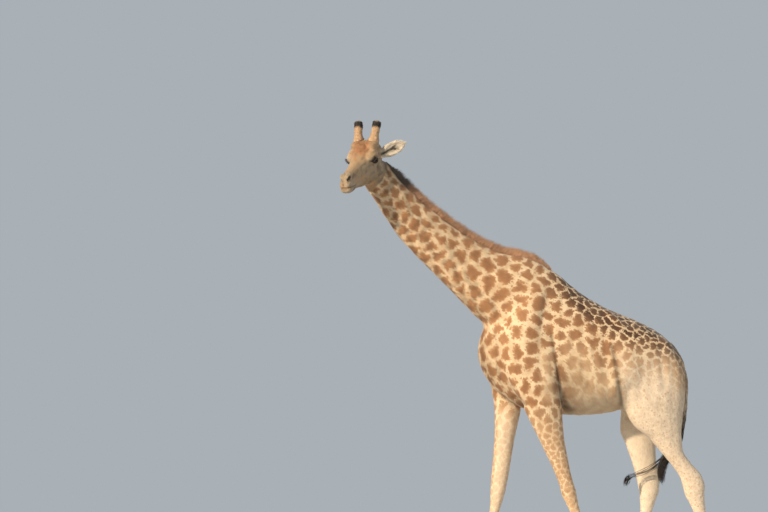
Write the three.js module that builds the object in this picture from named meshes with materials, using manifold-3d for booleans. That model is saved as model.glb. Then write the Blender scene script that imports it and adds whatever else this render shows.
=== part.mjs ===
// A giraffe, life size, standing in mid-stride with its head turned to its left.
// Millimetres, +Z up. It faces -X, its left side faces -Y, and its hooves stand on z = 0.
import * as THREE from 'three';
import { mergeVertices } from 'three/addons/utils/BufferGeometryUtils.js';
import Module from 'manifold-3d';

const wasm = await Module();
wasm.setup();

// ---- driving dimensions ------------------------------------------------------------------
const GAP = 0.4; // thin cut between neighbouring parts
const WELD = 0.2; // edges along the joins are cleaned up to this much
const WITHERS_HEIGHT = 2925; // top of the shoulders, without the mane
const HEAD_TURN = 45; // degrees the head is turned to the animal's left
const HEAD_PITCH = 25; // degrees the line from eye to nostril points down
const EYE_MIDDLE = [-1848, -190, 3664]; // point halfway between the two eyes
const EYE_RADIUS = 23;
const EYE_SPREAD = 112; // from the head's mid plane to each eye's centre
const OSSICONE_LENGTH = 205;
const OSSICONE_RADIUS = 32;
const EAR_LENGTH = 205;
const EAR_WIDTH = 112;
const MANE_HEIGHT = 52;
const MANE_HALF_THICKNESS = 21;
const MANE_ROOT = 30; // how far the mane's block reaches into the neck before it is trimmed
const FORE_SPREAD = 205; // from the mid plane to the middle of a fore hoof
const HIND_SPREAD = 165;
const CLAW_LENGTH = 205;
const CLAW_HALF_WIDTH = 39;
const CLEFT = 5; // space between the two claws of a hoof
const CORONET_FRONT = 118; // height of the hair line at the front of a hoof
const CORONET_HEEL = 62;

const COLOURS = {
  coat: 0xd2a274, // tan patches on cream, averaged
  pale: 0xe6d2b0, // lower legs
  face: 0xb5946f,
  horn: 0xb07f4f, // haired shafts of the ossicones
  ear: 0xe9dfca,
  mane: 0xa8683c,
  tuft: 0x17120f,
  hoof: 0x4a3d33,
  eye: 0x120e0b,
};

const vec = (x, y, z) => new THREE.Vector3(x, y, z);

// ---- lofting -----------------------------------------------------------------------------
// A section is an oval ring. high and low are the ends of its long axis, half is its half width,
// widest says where from low to high that width lies, and boxyHigh and boxyLow are the powers
// of the two ends, where 2 is an ellipse, less is more pointed and more is squarer.
function section(high, low, half, { widest = 0.5, boxyHigh = 2, boxyLow = 2 } = {}) {
  return { high: vec(...high), low: vec(...low), half, widest, boxyHigh, boxyLow };
}

// Fills in sections between the given ones, on smooth curves through each of their values.
function smoothSections(sections, between) {
  const through = (pick) => (
    new THREE.CatmullRomCurve3(sections.map(pick), false, 'catmullrom', 0.5));
  const highs = through((s) => s.high);
  const lows = through((s) => s.low);
  const shapes = through((s) => vec(s.half, s.widest, 0));
  const powers = through((s) => vec(s.boxyHigh, s.boxyLow, 0));
  const count = (sections.length - 1) * between;
  return Array.from({ length: count + 1 }, (_, i) => {
    const t = i / count;
    const shape = shapes.getPoint(t);
    const power = powers.getPoint(t);
    return {
      high: highs.getPoint(t),
      low: lows.getPoint(t),
      half: Math.max(shape.x, 1),
      widest: shape.y,
      boxyHigh: power.x,
      boxyLow: power.y,
    };
  });
}

const middle = (s) => s.low.clone().lerp(s.high, 0.5);

// The points of one ring, seen along the loft. grow swells it by that many millimetres.
function ringPoints(s, along, around, grow, shift) {
  const up = s.high.clone().sub(s.low);
  const length = up.length();
  up.normalize();
  const side = along.clone().cross(up).normalize();
  const centre = s.low.clone().addScaledVector(up, length * s.widest).addScaledVector(along, shift);
  const reachHigh = length * (1 - s.widest) + grow;
  const reachLow = length * s.widest + grow;
  return Array.from({ length: around }, (_, k) => {
    const angle = (2 * Math.PI * k) / around;
    const sin = Math.sin(angle);
    const cos = Math.cos(angle);
    const power = 2 / (sin > 0 ? s.boxyHigh : s.boxyLow);
    const rise = Math.sign(sin) * Math.abs(sin) ** power * (sin > 0 ? reachHigh : reachLow);
    const out = Math.sign(cos) * Math.abs(cos) ** power * (s.half + grow);
    return centre.clone().addScaledVector(up, rise).addScaledVector(side, out);
  });
}

// A closed surface through the sections, with a flat cap at each end.
function loft(given, { around = 16, between = 2, grow = 0 } = {}) {
  const sections = smoothSections(given, between);
  const last = sections.length - 1;
  const points = sections.flatMap((s, i) => {
    const ahead = middle(sections[Math.min(i + 1, last)]);
    const along = ahead.sub(middle(sections[Math.max(i - 1, 0)])).normalize();
    const shift = (i === last ? grow : 0) - (i === 0 ? grow : 0);
    return ringPoints(s, along, around, grow, shift);
  });
  const index = [];
  for (let i = 0; i < last; i += 1) {
    for (let k = 0; k < around; k += 1) {
      const a = i * around + k;
      const b = i * around + ((k + 1) % around);
      index.push(a, a + around, b, b, a + around, b + around);
    }
  }
  for (const ring of [0, last]) {
    const start = ring * around;
    const centre = points.length;
    points.push(points.slice(start, start + around)
      .reduce((sum, p) => sum.add(p), vec(0, 0, 0)).divideScalar(around));
    for (let k = 0; k < around; k += 1) {
      const pair = [start + k, start + ((k + 1) % around)];
      index.push(centre, ...(ring === 0 ? pair : pair.reverse()));
    }
  }
  return new THREE.BufferGeometry().setFromPoints(points).setIndex(index);
}

// ---- joining and cutting -----------------------------------------------------------------
function solid(geometry) {
  const bare = geometry.clone();
  bare.deleteAttribute('normal');
  bare.deleteAttribute('uv');
  const merged = mergeVertices(bare, 1e-3);
  return new wasm.Manifold(new wasm.Mesh({
    numProp: 3,
    vertProperties: new Float32Array(merged.attributes.position.array),
    triVerts: new Uint32Array(merged.index.array),
  }));
}

const lofted = (sections, options) => solid(loft(sections, options));
const join = (...solids) => solids.reduce((sum, s) => sum.add(s));

function ball([x, y, z], [rx, ry, rz], around = 12) {
  const geometry = new THREE.SphereGeometry(1, around, Math.round(around * 0.7));
  geometry.scale(rx, ry, rz);
  geometry.translate(x, y, z);
  return solid(geometry);
}

// A block under a face: the face is centred on point and looks along outward, and the block
// goes depth millimetres back from it. grow swells it.
function block(point, outward, [width, across, depth], grow = 0) {
  const geometry = new THREE.BoxGeometry(width + 2 * grow, across + 2 * grow, depth + grow);
  geometry.translate(0, 0, (grow - depth) / 2);
  const face = vec(...outward).normalize();
  geometry.applyQuaternion(new THREE.Quaternion().setFromUnitVectors(vec(0, 0, 1), face));
  geometry.translate(...point);
  return solid(geometry);
}

// Takes a part out of nodes[from] along a block, with a thin gap left between the two.
const nodes = {};
function carve(from, name, point, outward, size) {
  const whole = nodes[from];
  nodes[name] = whole.intersect(block(point, outward, size));
  nodes[from] = whole.subtract(block(point, outward, size, GAP));
}

// ---- trunk and neck ----------------------------------------------------------------------
// x, height of the back, height of the belly, half width, level of that width, back's power.
const trunkSections = [
  [-832, 2215, 2110, 60, 0.5, 2.0],
  [-806, 2320, 2020, 130, 0.5, 2.0],
  [-740, 2470, 1905, 190, 0.45, 1.9],
  [-640, 2660, 1800, 235, 0.42, 1.8],
  [-500, 2840, 1715, 275, 0.4, 1.65],
  [-350, WITHERS_HEIGHT - 40, 1680, 298, 0.4, 1.6],
  [-200, 2800, 1662, 318, 0.42, 1.7],
  [0, 2640, 1652, 336, 0.45, 1.8],
  [200, 2525, 1668, 345, 0.47, 1.85],
  [400, 2446, 1712, 334, 0.5, 1.85],
  [560, 2374, 1765, 305, 0.52, 1.85],
  [700, 2286, 1800, 255, 0.52, 1.9],
  [800, 2180, 1850, 185, 0.5, 2.0],
  [858, 2085, 1925, 100, 0.5, 2.0],
].map(([x, top, bottom, half, widest, boxyHigh]) => (
  section([x, 0, top], [x, 0, bottom], half, { widest, boxyHigh, boxyLow: 2.1 })));

// Point on the nape, point on the throat, half width, and the power of the crest.
const neckSections = [
  [[-1715, -95, 3705], [-1810, -125, 3490], 70, 1.9],
  [[-1624, -52, 3664], [-1768, -70, 3430], 80, 1.8],
  [[-1536, -25, 3576], [-1705, -30, 3345], 86, 1.75],
  [[-1421, -8, 3460], [-1615, -8, 3212], 92, 1.7],
  [[-1272, 0, 3330], [-1496, 0, 3050], 98, 1.65],
  [[-1100, 0, 3203], [-1346, 0, 2898], 106, 1.6],
  [[-930, 0, 3088], [-1198, 0, 2758], 118, 1.6],
  [[-760, 0, 3000], [-1058, 0, 2622], 136, 1.6],
  [[-600, 0, 2945], [-925, 0, 2490], 164, 1.6],
  [[-440, 0, WITHERS_HEIGHT], [-790, 0, 2362], 200, 1.6],
  [[-280, 0, 2850], [-640, 0, 2220], 230, 1.7],
].map(([high, low, half, boxyHigh]) => section(high, low, half, { widest: 0.46, boxyHigh }));

const trunkShape = (grow = 0) => lofted(trunkSections, { around: 18, between: 2, grow });
const neckShape = (grow = 0) => lofted(neckSections, { around: 16, between: 1, grow });

// ---- legs --------------------------------------------------------------------------------
// The rows of an upper leg: front x, rear x, height, half width, distance from the mid plane,
// and how much the rear stands higher than the height given and the front lower.
function upperLeg(side, rows) {
  return rows.map(([front, rear, z, half, y, lean = 0]) => (
    section([front, side * y, z - lean], [rear, side * y, z + lean], half)));
}

// The rows of a cannon: share of the way from knee to fetlock, depth, half width.
const foreCannon = [
  [0.02, 128, 66], [0.1, 108, 54], [0.2, 90, 42], [0.45, 80, 36],
  [0.75, 84, 38], [0.9, 100, 48], [1.0, 112, 56],
];
const hindCannon = [
  [0.04, 176, 62], [0.13, 138, 52], [0.24, 106, 43], [0.45, 90, 37],
  [0.75, 88, 38], [0.9, 102, 48], [1.0, 114, 55],
];

// From the knee or hock down to the hair line of the hoof. Joints are given as x, z.
function lowerLeg({ side, spread, knee, fetlock, hoof, cannon }) {
  const y = side * spread;
  const along = vec(knee[0] - fetlock[0], 0, knee[1] - fetlock[1]).normalize();
  const cannonForward = vec(-along.z, 0, along.x);
  const pasternForward = vec(-0.93, 0, 0.37);
  const ring = (centre, forward, depth, half) => section(
    centre.clone().addScaledVector(forward, depth / 2).toArray(),
    centre.clone().addScaledVector(forward, -depth / 2).toArray(),
    half,
  );
  const top = vec(knee[0], y, knee[1]);
  const bottom = vec(fetlock[0], y, fetlock[1]);
  const coffin = vec(hoof, y, CORONET_FRONT - 18);
  return [
    ...cannon.map(([share, depth, half]) => (
      ring(top.clone().lerp(bottom, share), cannonForward, depth, half))),
    ring(bottom.clone().lerp(coffin, 0.45), pasternForward, 96, 50),
    section(
      [hoof - CLAW_LENGTH * 0.3, y, CORONET_FRONT + GAP],
      [hoof + CLAW_LENGTH * 0.37, y, CORONET_HEEL + GAP],
      CLAW_HALF_WIDTH * 1.72,
    ),
  ];
}

const legs = {
  foreleg_left: { // pushing off, slanting back
    side: -1,
    spread: FORE_SPREAD,
    rows: [
      [-500, -300, 2680, 55, 150], [-625, -300, 2480, 82, 190], [-725, -285, 2250, 98, 212],
      [-715, -275, 2060, 106, 222], [-650, -235, 1900, 108, 228], [-555, -212, 1740, 100, 226],
      [-492, -205, 1610, 90, 222], [-430, -190, 1480, 80, 217, -20],
      [-362, -160, 1340, 70, 212, -25], [-300, -136, 1220, 64, 208, -28],
      [-250, -103, 1110, 68, 206, -26],
    ],
    knee: [-160, 1050],
    fetlock: [118, 262],
    hoof: 52,
    cannon: foreCannon,
  },
  foreleg_right: { // reaching forward
    side: 1,
    spread: FORE_SPREAD,
    rows: [
      [-520, -320, 2680, 55, 150], [-650, -330, 2480, 82, 190], [-755, -345, 2250, 98, 212],
      [-750, -350, 2060, 106, 222], [-700, -370, 1900, 108, 226], [-655, -410, 1760, 98, 222],
      [-650, -440, 1640, 88, 218], [-655, -475, 1480, 78, 214, 12],
      [-668, -505, 1320, 70, 210, 12], [-685, -530, 1170, 66, 207, 12],
    ],
    knee: [-624, 1055],
    fetlock: [-764, 262],
    hoof: -832,
    cannon: foreCannon,
  },
  hindleg_left: { // pushing off, slanting back
    side: -1,
    spread: HIND_SPREAD,
    rows: [
      [330, 700, 2250, 90, 165], [240, 790, 2080, 120, 180], [228, 828, 1930, 132, 184],
      [275, 828, 1770, 128, 182], [335, 808, 1640, 112, 180], [400, 800, 1530, 96, 178, -25],
      [520, 812, 1415, 78, 176, -55], [618, 885, 1310, 66, 174, -45],
      [698, 965, 1225, 60, 171, -40], [775, 1000, 1135, 62, 168, -30],
    ],
    knee: [900, 1065],
    fetlock: [1122, 265],
    hoof: 1040,
    cannon: hindCannon,
  },
  hindleg_right: { // set down ahead
    side: 1,
    spread: HIND_SPREAD,
    rows: [
      [330, 700, 2250, 90, 165], [285, 770, 2080, 120, 180], [320, 790, 1930, 132, 184],
      [380, 780, 1770, 126, 182], [390, 750, 1640, 112, 180], [380, 715, 1530, 98, 178],
      [420, 690, 1420, 82, 176, -20], [462, 698, 1300, 68, 172, -30],
      [498, 728, 1190, 62, 168, -25],
    ],
    knee: [630, 1075],
    fetlock: [512, 265],
    hoof: 438,
    cannon: hindCannon,
  },
};

const legShape = (leg, grow = 0) => lofted(
  [...upperLeg(leg.side, leg.rows), ...lowerLeg(leg)],
  { around: 11, between: 1, grow },
);

// One claw of a hoof: a flat sole on the ground and a sloping wall, cut along the hair line.
function claw(x, y) {
  const shape = { boxyHigh: 1.8, boxyLow: 2.4, widest: 0.45 };
  const ring = (toe, heel, toeHeight, heelHeight, half) => section(
    [x - CLAW_LENGTH * toe, y, toeHeight],
    [x + CLAW_LENGTH * heel, y, heelHeight],
    half,
    shape,
  );
  return lofted([
    ring(0.58, 0.42, 0, 0, CLAW_HALF_WIDTH),
    ring(0.56, 0.43, 16, 10, CLAW_HALF_WIDTH),
    ring(0.3, 0.36, CORONET_FRONT, CORONET_HEEL, CLAW_HALF_WIDTH * 0.9),
  ], { around: 10, between: 1 });
}

// ---- head, in its own frame: x toward the nose, y to its left, z up, from EYE_MIDDLE ----------
const turn = THREE.MathUtils.degToRad(HEAD_TURN);
const pitch = THREE.MathUtils.degToRad(HEAD_PITCH);
const noseward = vec(
  -Math.cos(turn) * Math.cos(pitch),
  -Math.sin(turn) * Math.cos(pitch),
  -Math.sin(pitch),
);
const leftward = vec(Math.sin(turn), -Math.cos(turn), 0);
const headFrame = new THREE.Matrix4()
  .makeBasis(noseward, leftward, noseward.clone().cross(leftward))
  .setPosition(...EYE_MIDDLE);
const headPoint = (x, y, z) => vec(x, y, z).applyMatrix4(headFrame).toArray();
const headWay = (x, y, z) => vec(x, y, z).transformDirection(headFrame).toArray();

// Distance toward the nose, height of the upper outline, of the lower one, half width.
const skullSections = [
  [366, -46, -86, 28], [352, -18, -98, 41], [325, 7, -103, 48], [290, 20, -104, 50],
  [240, 31, -108, 47], [180, 46, -114, 50], [120, 68, -120, 61], [60, 96, -124, 84],
  [5, 116, -126, 104], [-50, 128, -126, 108], [-110, 134, -122, 102], [-160, 118, -112, 90],
  [-205, 82, -84, 74], [-238, 30, -40, 44],
].map(([x, top, bottom, half]) => (
  section([x, 0, top], [x, 0, bottom], half, { boxyHigh: 2.2, boxyLow: 2.2 })));

const jawSections = [
  [362, -90, -114, 34], [342, -72, -136, 46], [298, -60, -146, 45], [235, -50, -146, 40],
  [150, -50, -162, 43], [100, -40, -177, 49], [50, -30, -190, 55], [0, -20, -201, 61],
  [-60, 0, -210, 66], [-110, 10, -205, 66], [-150, 10, -172, 58], [-185, 0, -116, 44],
].map(([x, top, bottom, half]) => section([x, 0, top], [x, 0, bottom], half, { boxyLow: 2.3 }));

const bothSides = (make) => join(...[1, -1].map(make));

const eyeBall = (s, grow = 0) => {
  const radius = EYE_RADIUS + grow;
  return ball([4, s * EYE_SPREAD, 0], [radius, radius, radius], 10);
};

// The head without its hollows. grow swells it.
function headMass(grow = 0) {
  const bulge = (centre, radii, around) => ball(centre, radii.map((r) => r + grow), around);
  return join(
    lofted(skullSections, { around: 14, between: 1, grow }),
    lofted(jawSections, { around: 12, between: 1, grow }),
    bothSides((s) => bulge([-45, s * 58, -92], [112, 34, 84], 8)), // cheek
    bothSides((s) => bulge([-12, s * 88, 34], [76, 44, 58], 9)), // brow and rim of the eye
    bothSides((s) => bulge([306, s * 27, -12], [46, 23, 28], 8)), // wing of the nostril
    bulge([-14, 0, 98], [80, 50, 38], 8), // lump on the forehead
    bothSides((s) => bulge([-92, s * 62, 92], [80, 48, 50], 8)), // foot of the ossicone
  );
}

const headHollows = () => join(
  bothSides((s) => ball([332, s * 49, -22], [18, 13, 9], 8)), // nostril
  bothSides((s) => eyeBall(s, GAP)),
  bothSides((s) => ball([12, s * 142, -2], [42, 34, 24], 8)), // opening of the lids
);

// An ossicone leans back and a little out, with a rounded knob. Share of length, radius share.
const ossiconeRows = [
  [0, 1.25], [0.3, 1.04], [0.6, 0.98], [0.8, 1.06], [0.93, 1.0], [0.985, 0.68], [1, 0.25],
];
const ossiconeFoot = (s) => vec(-90, s * 69, 92);
const ossiconeLean = (s) => vec(-0.585, s * 0.08, 0.81).normalize();

function ossicone(s) {
  const forward = vec(0.81, 0, 0.585).normalize();
  return lofted(ossiconeRows.map(([share, size]) => {
    const centre = ossiconeFoot(s).addScaledVector(ossiconeLean(s), share * OSSICONE_LENGTH);
    const reach = OSSICONE_RADIUS * size * 1.08;
    return section(
      centre.clone().addScaledVector(forward, reach).toArray(),
      centre.clone().addScaledVector(forward, -reach).toArray(),
      OSSICONE_RADIUS * size,
    );
  }), { around: 10, between: 1 });
}

// Each ear: its root and direction, and the way its hollow opens. The left one stands out to the
// side, the right one is laid back.
const ears = {
  left: { root: [-132, 88, -4], direction: [-0.6, 0.78, 0.2], opening: [0.8, 0.55, 0.2] },
  right: { root: [-132, -88, -4], direction: [-0.93, -0.3, 0.14], opening: [0.1, -1, 0.2] },
};
// Share of the ear's length, share of its width.
const earOuter = [
  [-0.06, 0.5], [0.12, 0.66], [0.3, 0.9], [0.5, 1], [0.7, 0.9], [0.87, 0.56], [1, 0.08],
];
const earInner = [[0.16, 0.2], [0.3, 0.68], [0.5, 0.87], [0.7, 0.78], [0.86, 0.42], [0.93, 0.06]];
const EAR_THICKNESS = 22;
const EAR_HOLLOW = 17; // how far the hollow is moved toward the opening
const EAR_BEND = 26;

function earShape({ root, direction, opening }) {
  const along = vec(...direction).normalize();
  const open = vec(...opening);
  open.addScaledVector(along, -open.dot(along)).normalize();
  const across = along.clone().cross(open);
  const leaf = (rows, shift) => lofted(rows.map(([share, width]) => {
    const centre = vec(...root).addScaledVector(along, share * EAR_LENGTH)
      .addScaledVector(open, shift - EAR_BEND * share * (1 - share));
    const reach = Math.max((EAR_WIDTH / 2) * width, 2);
    return section(
      centre.clone().addScaledVector(across, reach).toArray(),
      centre.clone().addScaledVector(across, -reach).toArray(),
      Math.max(EAR_THICKNESS * width, 2),
    );
  }), { around: 10, between: 1 });
  return leaf(earOuter, 0).subtract(leaf(earInner, EAR_HOLLOW));
}

// ---- tail --------------------------------------------------------------------------------
// A round rod through points, with a radius at each.
function sweep(points, radii, { around = 10, between = 2, grow = 0 } = {}) {
  const path = new THREE.CatmullRomCurve3(points.map((p) => vec(...p)));
  const last = points.length - 1;
  return lofted(points.map((_, i) => {
    const here = path.getPoint(i / last);
    const along = path.getTangent(i / last);
    const up = vec(1, 0, 0);
    up.addScaledVector(along, -up.dot(along)).normalize();
    return section(
      here.clone().addScaledVector(up, radii[i]).toArray(),
      here.clone().addScaledVector(up, -radii[i]).toArray(),
      radii[i],
    );
  }), { around, between, grow });
}

const tailShape = (grow = 0) => sweep(
  [
    [720, 0, 2190], [785, 0, 2135], [838, 0, 2050], [876, -2, 1930], [880, -4, 1780],
    [866, -6, 1620], [842, -8, 1490], [812, -6, 1405],
  ],
  [70, 52, 36, 28, 23, 20, 18, 19],
  { around: 9, grow },
);

// The tuft hangs between the hind legs, and one long lock swings across the right one.
function tuftShape() {
  const main = sweep(
    [[826, -7, 1432], [780, 0, 1380], [722, 6, 1320], [690, 8, 1240], [684, 8, 1160], [690, 6, 1110]],
    [24, 32, 40, 36, 22, 5],
    { around: 8, between: 1 },
  );
  const forward = sweep(
    [[760, 4, 1360], [690, 22, 1290], [600, 46, 1215], [500, 58, 1175], [420, 54, 1150], [392, 48, 1085]],
    [20, 26, 16, 13, 18, 5],
    { around: 7, between: 1 },
  );
  return join(main, forward);
}

// ---- mane: a ridge along the crest, from behind the ears to the withers -------------------------
function maneShape() {
  const crest = new THREE.CatmullRomCurve3([
    ...neckSections.slice(1, 10).map((s) => s.high.clone()),
    vec(-330, 0, 2884),
    vec(-235, 0, 2826),
  ]);
  const steps = 12;
  return lofted(Array.from({ length: steps + 1 }, (_, i) => {
    const t = i / steps;
    const here = crest.getPoint(t);
    const along = crest.getTangent(t);
    const out = vec(-along.z, 0, along.x).normalize();
    const fade = Math.min(1, 0.6 + t * 3, 0.1 + (1 - t) * 4.5);
    return section(
      here.clone().addScaledVector(out, MANE_HEIGHT * fade).toArray(),
      here.clone().addScaledVector(out, -MANE_ROOT).toArray(),
      MANE_HALF_THICKNESS * (0.5 + 0.5 * fade),
      { widest: 0.42, boxyHigh: 1.7 },
    );
  }), { around: 10, between: 1 });
}

// ---- the whole animal, joined, then parted ---------------------------------------------------
const placeHead = (shape) => shape.transform(headFrame.elements);

nodes.trunk = join(
  trunkShape(),
  neckShape(),
  placeHead(headMass().subtract(headHollows())),
  ...Object.values(legs).map((leg) => legShape(leg)),
).simplify(WELD);
carve('trunk', 'head', [-1690, -80, 3540], [0.8, 0.22, -0.5], [900, 900, 900]);
carve('trunk', 'neck', [-620, 0, 2640], [0.871, 0, -0.492], [1400, 1200, 1500]);
carve('head', 'jaw', headPoint(250, 0, -90), headWay(-0.12, 0, 1), [640, 640, 250]);
carve('trunk', 'foreleg_left', [-480, -295, 1718], [-0.29, 0, 1], [560, 390, 1900]);
carve('trunk', 'foreleg_right', [-640, 295, 1779], [0.4, 0, 1], [1420, 390, 1900]);
carve('trunk', 'hindleg_left', [640, -235, 1830], [-0.48, 0, 1], [2600, 406, 2400]);
carve('trunk', 'hindleg_right', [600, 235, 1800], [-0.48, 0, 1], [2600, 406, 2400]);
for (const [name, { side, spread, knee, fetlock }] of Object.entries(legs)) {
  const up = [knee[0] - fetlock[0], 0, knee[1] - fetlock[1]];
  carve(name, `${name}_lower`, [knee[0], side * spread, knee[1]], up, [420, 300, 1200]);
}

// What grows from the skin is trimmed to stand just clear of it.
const trimmer = join(
  trunkShape(GAP),
  neckShape(GAP),
  ...Object.values(legs).map((leg) => legShape(leg, GAP)),
);
for (const [name, s] of [['left', 1], ['right', -1]]) {
  nodes[`ossicone_${name}`] = placeHead(ossicone(s).subtract(headMass(GAP)));
  nodes[`ear_${name}`] = placeHead(earShape(ears[name]).subtract(headMass(GAP)));
}
nodes.tail = tailShape().subtract(trimmer);
nodes.tail_tuft = tuftShape().subtract(tailShape(GAP));
nodes.mane = maneShape().subtract(trimmer).subtract(placeHead(headMass(GAP)));
for (const [name, s] of [['left', 1], ['right', -1]]) nodes[`eye_${name}`] = placeHead(eyeBall(s));
for (const [name, { side, spread, hoof }] of Object.entries(legs)) {
  for (const [which, s] of [['outer', 1], ['inner', -1]]) {
    const y = side * (spread + s * (CLAW_HALF_WIDTH + CLEFT / 2));
    nodes[`${name}_hoof_${which}`] = claw(hoof, y);
  }
}

// ---- nodes -------------------------------------------------------------------------------
const LOOKS = [
  [/^eye/, COLOURS.eye, 0.15],
  [/hoof/, COLOURS.hoof, 0.6],
  [/tuft/, COLOURS.tuft, 0.7],
  [/mane/, COLOURS.mane, 0.85],
  [/^ear/, COLOURS.ear, 0.85],
  [/ossicone/, COLOURS.horn, 0.85],
  [/head|jaw/, COLOURS.face, 0.85],
  [/_lower/, COLOURS.pale, 0.85],
  [/./, COLOURS.coat, 0.85],
];

// The part's origin is the middle of its box, on the ground.
const boxes = Object.values(nodes).map((shape) => shape.boundingBox());
const centreOf = (axis) => (
  Math.min(...boxes.map((b) => b.min[axis])) + Math.max(...boxes.map((b) => b.max[axis]))) / 2;
const shift = [-centreOf(0), -centreOf(1), 0];

const giraffe = new THREE.Group();
giraffe.name = 'giraffe';
for (const [name, shape] of Object.entries(nodes)) {
  const mesh = shape.translate(shift).getMesh();
  const geometry = new THREE.BufferGeometry();
  geometry.setAttribute('position', new THREE.BufferAttribute(mesh.vertProperties, 3));
  geometry.setIndex(new THREE.BufferAttribute(mesh.triVerts, 1));
  const [, color, roughness] = LOOKS.find(([pattern]) => pattern.test(name));
  const node = new THREE.Mesh(
    geometry,
    new THREE.MeshStandardMaterial({ color, roughness, metalness: 0 }),
  );
  node.name = name;
  giraffe.add(node);
}

export default giraffe;
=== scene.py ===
"""A life-size southern giraffe as a still model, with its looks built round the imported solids.

Metres, +Z up. The animal faces -X and its left side faces -Y. One skin is grown from the flesh nodes,
faired, detailed and marked; hooves, eyes and ossicones are pieces of their own; hair is joined tufts.
"""
import math
from types import SimpleNamespace

import bmesh
import bpy
import numpy as np
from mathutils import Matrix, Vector, kdtree
from mathutils.bvhtree import BVHTree


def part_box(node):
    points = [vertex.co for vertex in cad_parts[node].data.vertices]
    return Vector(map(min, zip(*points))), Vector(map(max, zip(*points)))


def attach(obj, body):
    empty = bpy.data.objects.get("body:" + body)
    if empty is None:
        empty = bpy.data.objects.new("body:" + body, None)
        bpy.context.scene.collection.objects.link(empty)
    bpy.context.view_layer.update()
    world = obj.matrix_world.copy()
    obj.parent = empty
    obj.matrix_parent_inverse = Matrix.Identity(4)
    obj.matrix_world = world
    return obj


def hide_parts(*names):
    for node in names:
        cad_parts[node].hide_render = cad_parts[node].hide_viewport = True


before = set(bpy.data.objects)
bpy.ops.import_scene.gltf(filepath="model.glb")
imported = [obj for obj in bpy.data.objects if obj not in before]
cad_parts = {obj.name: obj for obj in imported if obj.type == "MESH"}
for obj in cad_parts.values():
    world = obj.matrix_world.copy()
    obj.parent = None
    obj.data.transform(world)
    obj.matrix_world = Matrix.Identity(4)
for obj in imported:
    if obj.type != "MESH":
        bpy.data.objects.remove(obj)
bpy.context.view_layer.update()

# ---- driving sizes, in metres ----
COAT_DEPTH = 0.004  # the skin lies this far inside the solids
FACE_THINNER = 0.0025  # the coat is thinner by this on the face
EAR_THINNER = 0.0035
BODY_VOXEL = 0.0105  # mesh size of the body's skin
HEAD_VOXEL = 0.0036  # mesh size of the head's skin
SWELL = 0.0012  # closes the thin cuts between the solids before they are joined
HEAD_PITCH = math.radians(25)  # the line from eye to nostril points down
EYE_RADIUS = 0.0228
SEED = 20
TINY = 1e-9  # what counts as nothing beside 1

LEGS = ["foreleg_left", "foreleg_right", "hindleg_left", "hindleg_right"]
LOWER_LEGS = [leg + "_lower" for leg in LEGS]
FLESH = ["trunk", "neck", "head", "jaw", "tail"] + LEGS + LOWER_LEGS
EARS = ["ear_left", "ear_right"]
SIDES = {1: "left", -1: "right"}  # y of the head's own frame has this sign on the animal's left and right


# ---- small sums ----
def unit(v):
    v = np.asarray(v, float)
    return v / np.linalg.norm(v)


def units(rows, guard=0.0):
    """Each row at a length of 1."""
    return rows / (np.linalg.norm(rows, axis=-1, keepdims=True) + guard)


def square_to(axis, way):
    """The unit vector nearest to way that is square to axis."""
    return unit(way - axis * (way @ axis))


def along_surface(ways, normals):
    """The part of each way that lies in the surface."""
    return ways - normals * (ways * normals).sum(axis=1)[:, None]


def blend(first, second, share):
    """first where share is 0, second where it is 1."""
    return first * (1 - share) + second * share


def ramp(values, low, high):
    """0 at low, 1 at high, smooth between."""
    t = np.clip((values - low) / (high - low), 0, 1)
    return t * t * (3 - 2 * t)


def ridge(values, middle, width):
    """1 at middle, fading to 0 over width."""
    return np.exp(-((values - middle) / width) ** 2)


def blob(points, middle, reach):
    """1 at a place, fading to 0 over reach, which may differ along X, Y and Z."""
    away = (points - np.asarray(middle)) / np.asarray(reach)
    return np.exp(-(away ** 2).sum(axis=1))


def streak(points, start, end, reach):
    """1 along a straight line, fading to 0 over reach."""
    start, end = np.asarray(start, float), np.asarray(end, float)
    along = end - start
    share = np.clip((points - start) @ along / (along @ along), 0, 1)
    return ridge(np.linalg.norm(points - start - share[:, None] * along, axis=1), 0, reach)


def side_streak(points, start, end, width):
    """A streak seen from the side, from one x and z to another, on both flanks."""
    flat = points * [1, 0, 1]
    return streak(flat, [start[0], 0, start[1]], [end[0], 0, end[1]], width)


def mirrored(field, place, *where):
    """A blob or streak of the head's left side, and its mirror image."""
    return sum(field(place * [1, side, 1], *where) for side in SIDES)


def waves(points, wavelength, seed):
    """A smooth random field between about -1 and 1."""
    rng = np.random.default_rng(seed)
    ways = rng.normal(size=(7, 3))
    ways *= 2 * math.pi / wavelength / np.linalg.norm(ways, axis=1)[:, None]
    ways *= rng.uniform(0.75, 1.35, size=(7, 1))
    return np.sin(points @ ways.T + rng.uniform(0, 6.28, 7)).sum(axis=1) / 3.2


# ---- places that come from the frame ----
def box_of(node):
    return tuple(np.array(corner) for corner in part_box(node))


def centre(node):
    low, high = box_of(node)
    return (low + high) / 2


EYES = {side: centre("eye_" + name) for side, name in SIDES.items()}
EYE_MIDDLE = (EYES[1] + EYES[-1]) / 2
LEFTWARD = unit(EYES[1] - EYES[-1])
FACING = np.array([LEFTWARD[1], -LEFTWARD[0], 0])  # level, the way the head is turned
NOSEWARD = FACING * math.cos(HEAD_PITCH) - np.array([0, 0, math.sin(HEAD_PITCH)])
CROWNWARD = np.cross(NOSEWARD, LEFTWARD)
HEAD_AXES = np.array([NOSEWARD, LEFTWARD, CROWNWARD])


def to_head(points):
    """Places in the head's own frame: x toward the nose, y to its left, z to its crown."""
    return (np.asarray(points) - EYE_MIDDLE) @ HEAD_AXES.T


def from_head(points):
    return np.asarray(points) @ HEAD_AXES + EYE_MIDDLE


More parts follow.
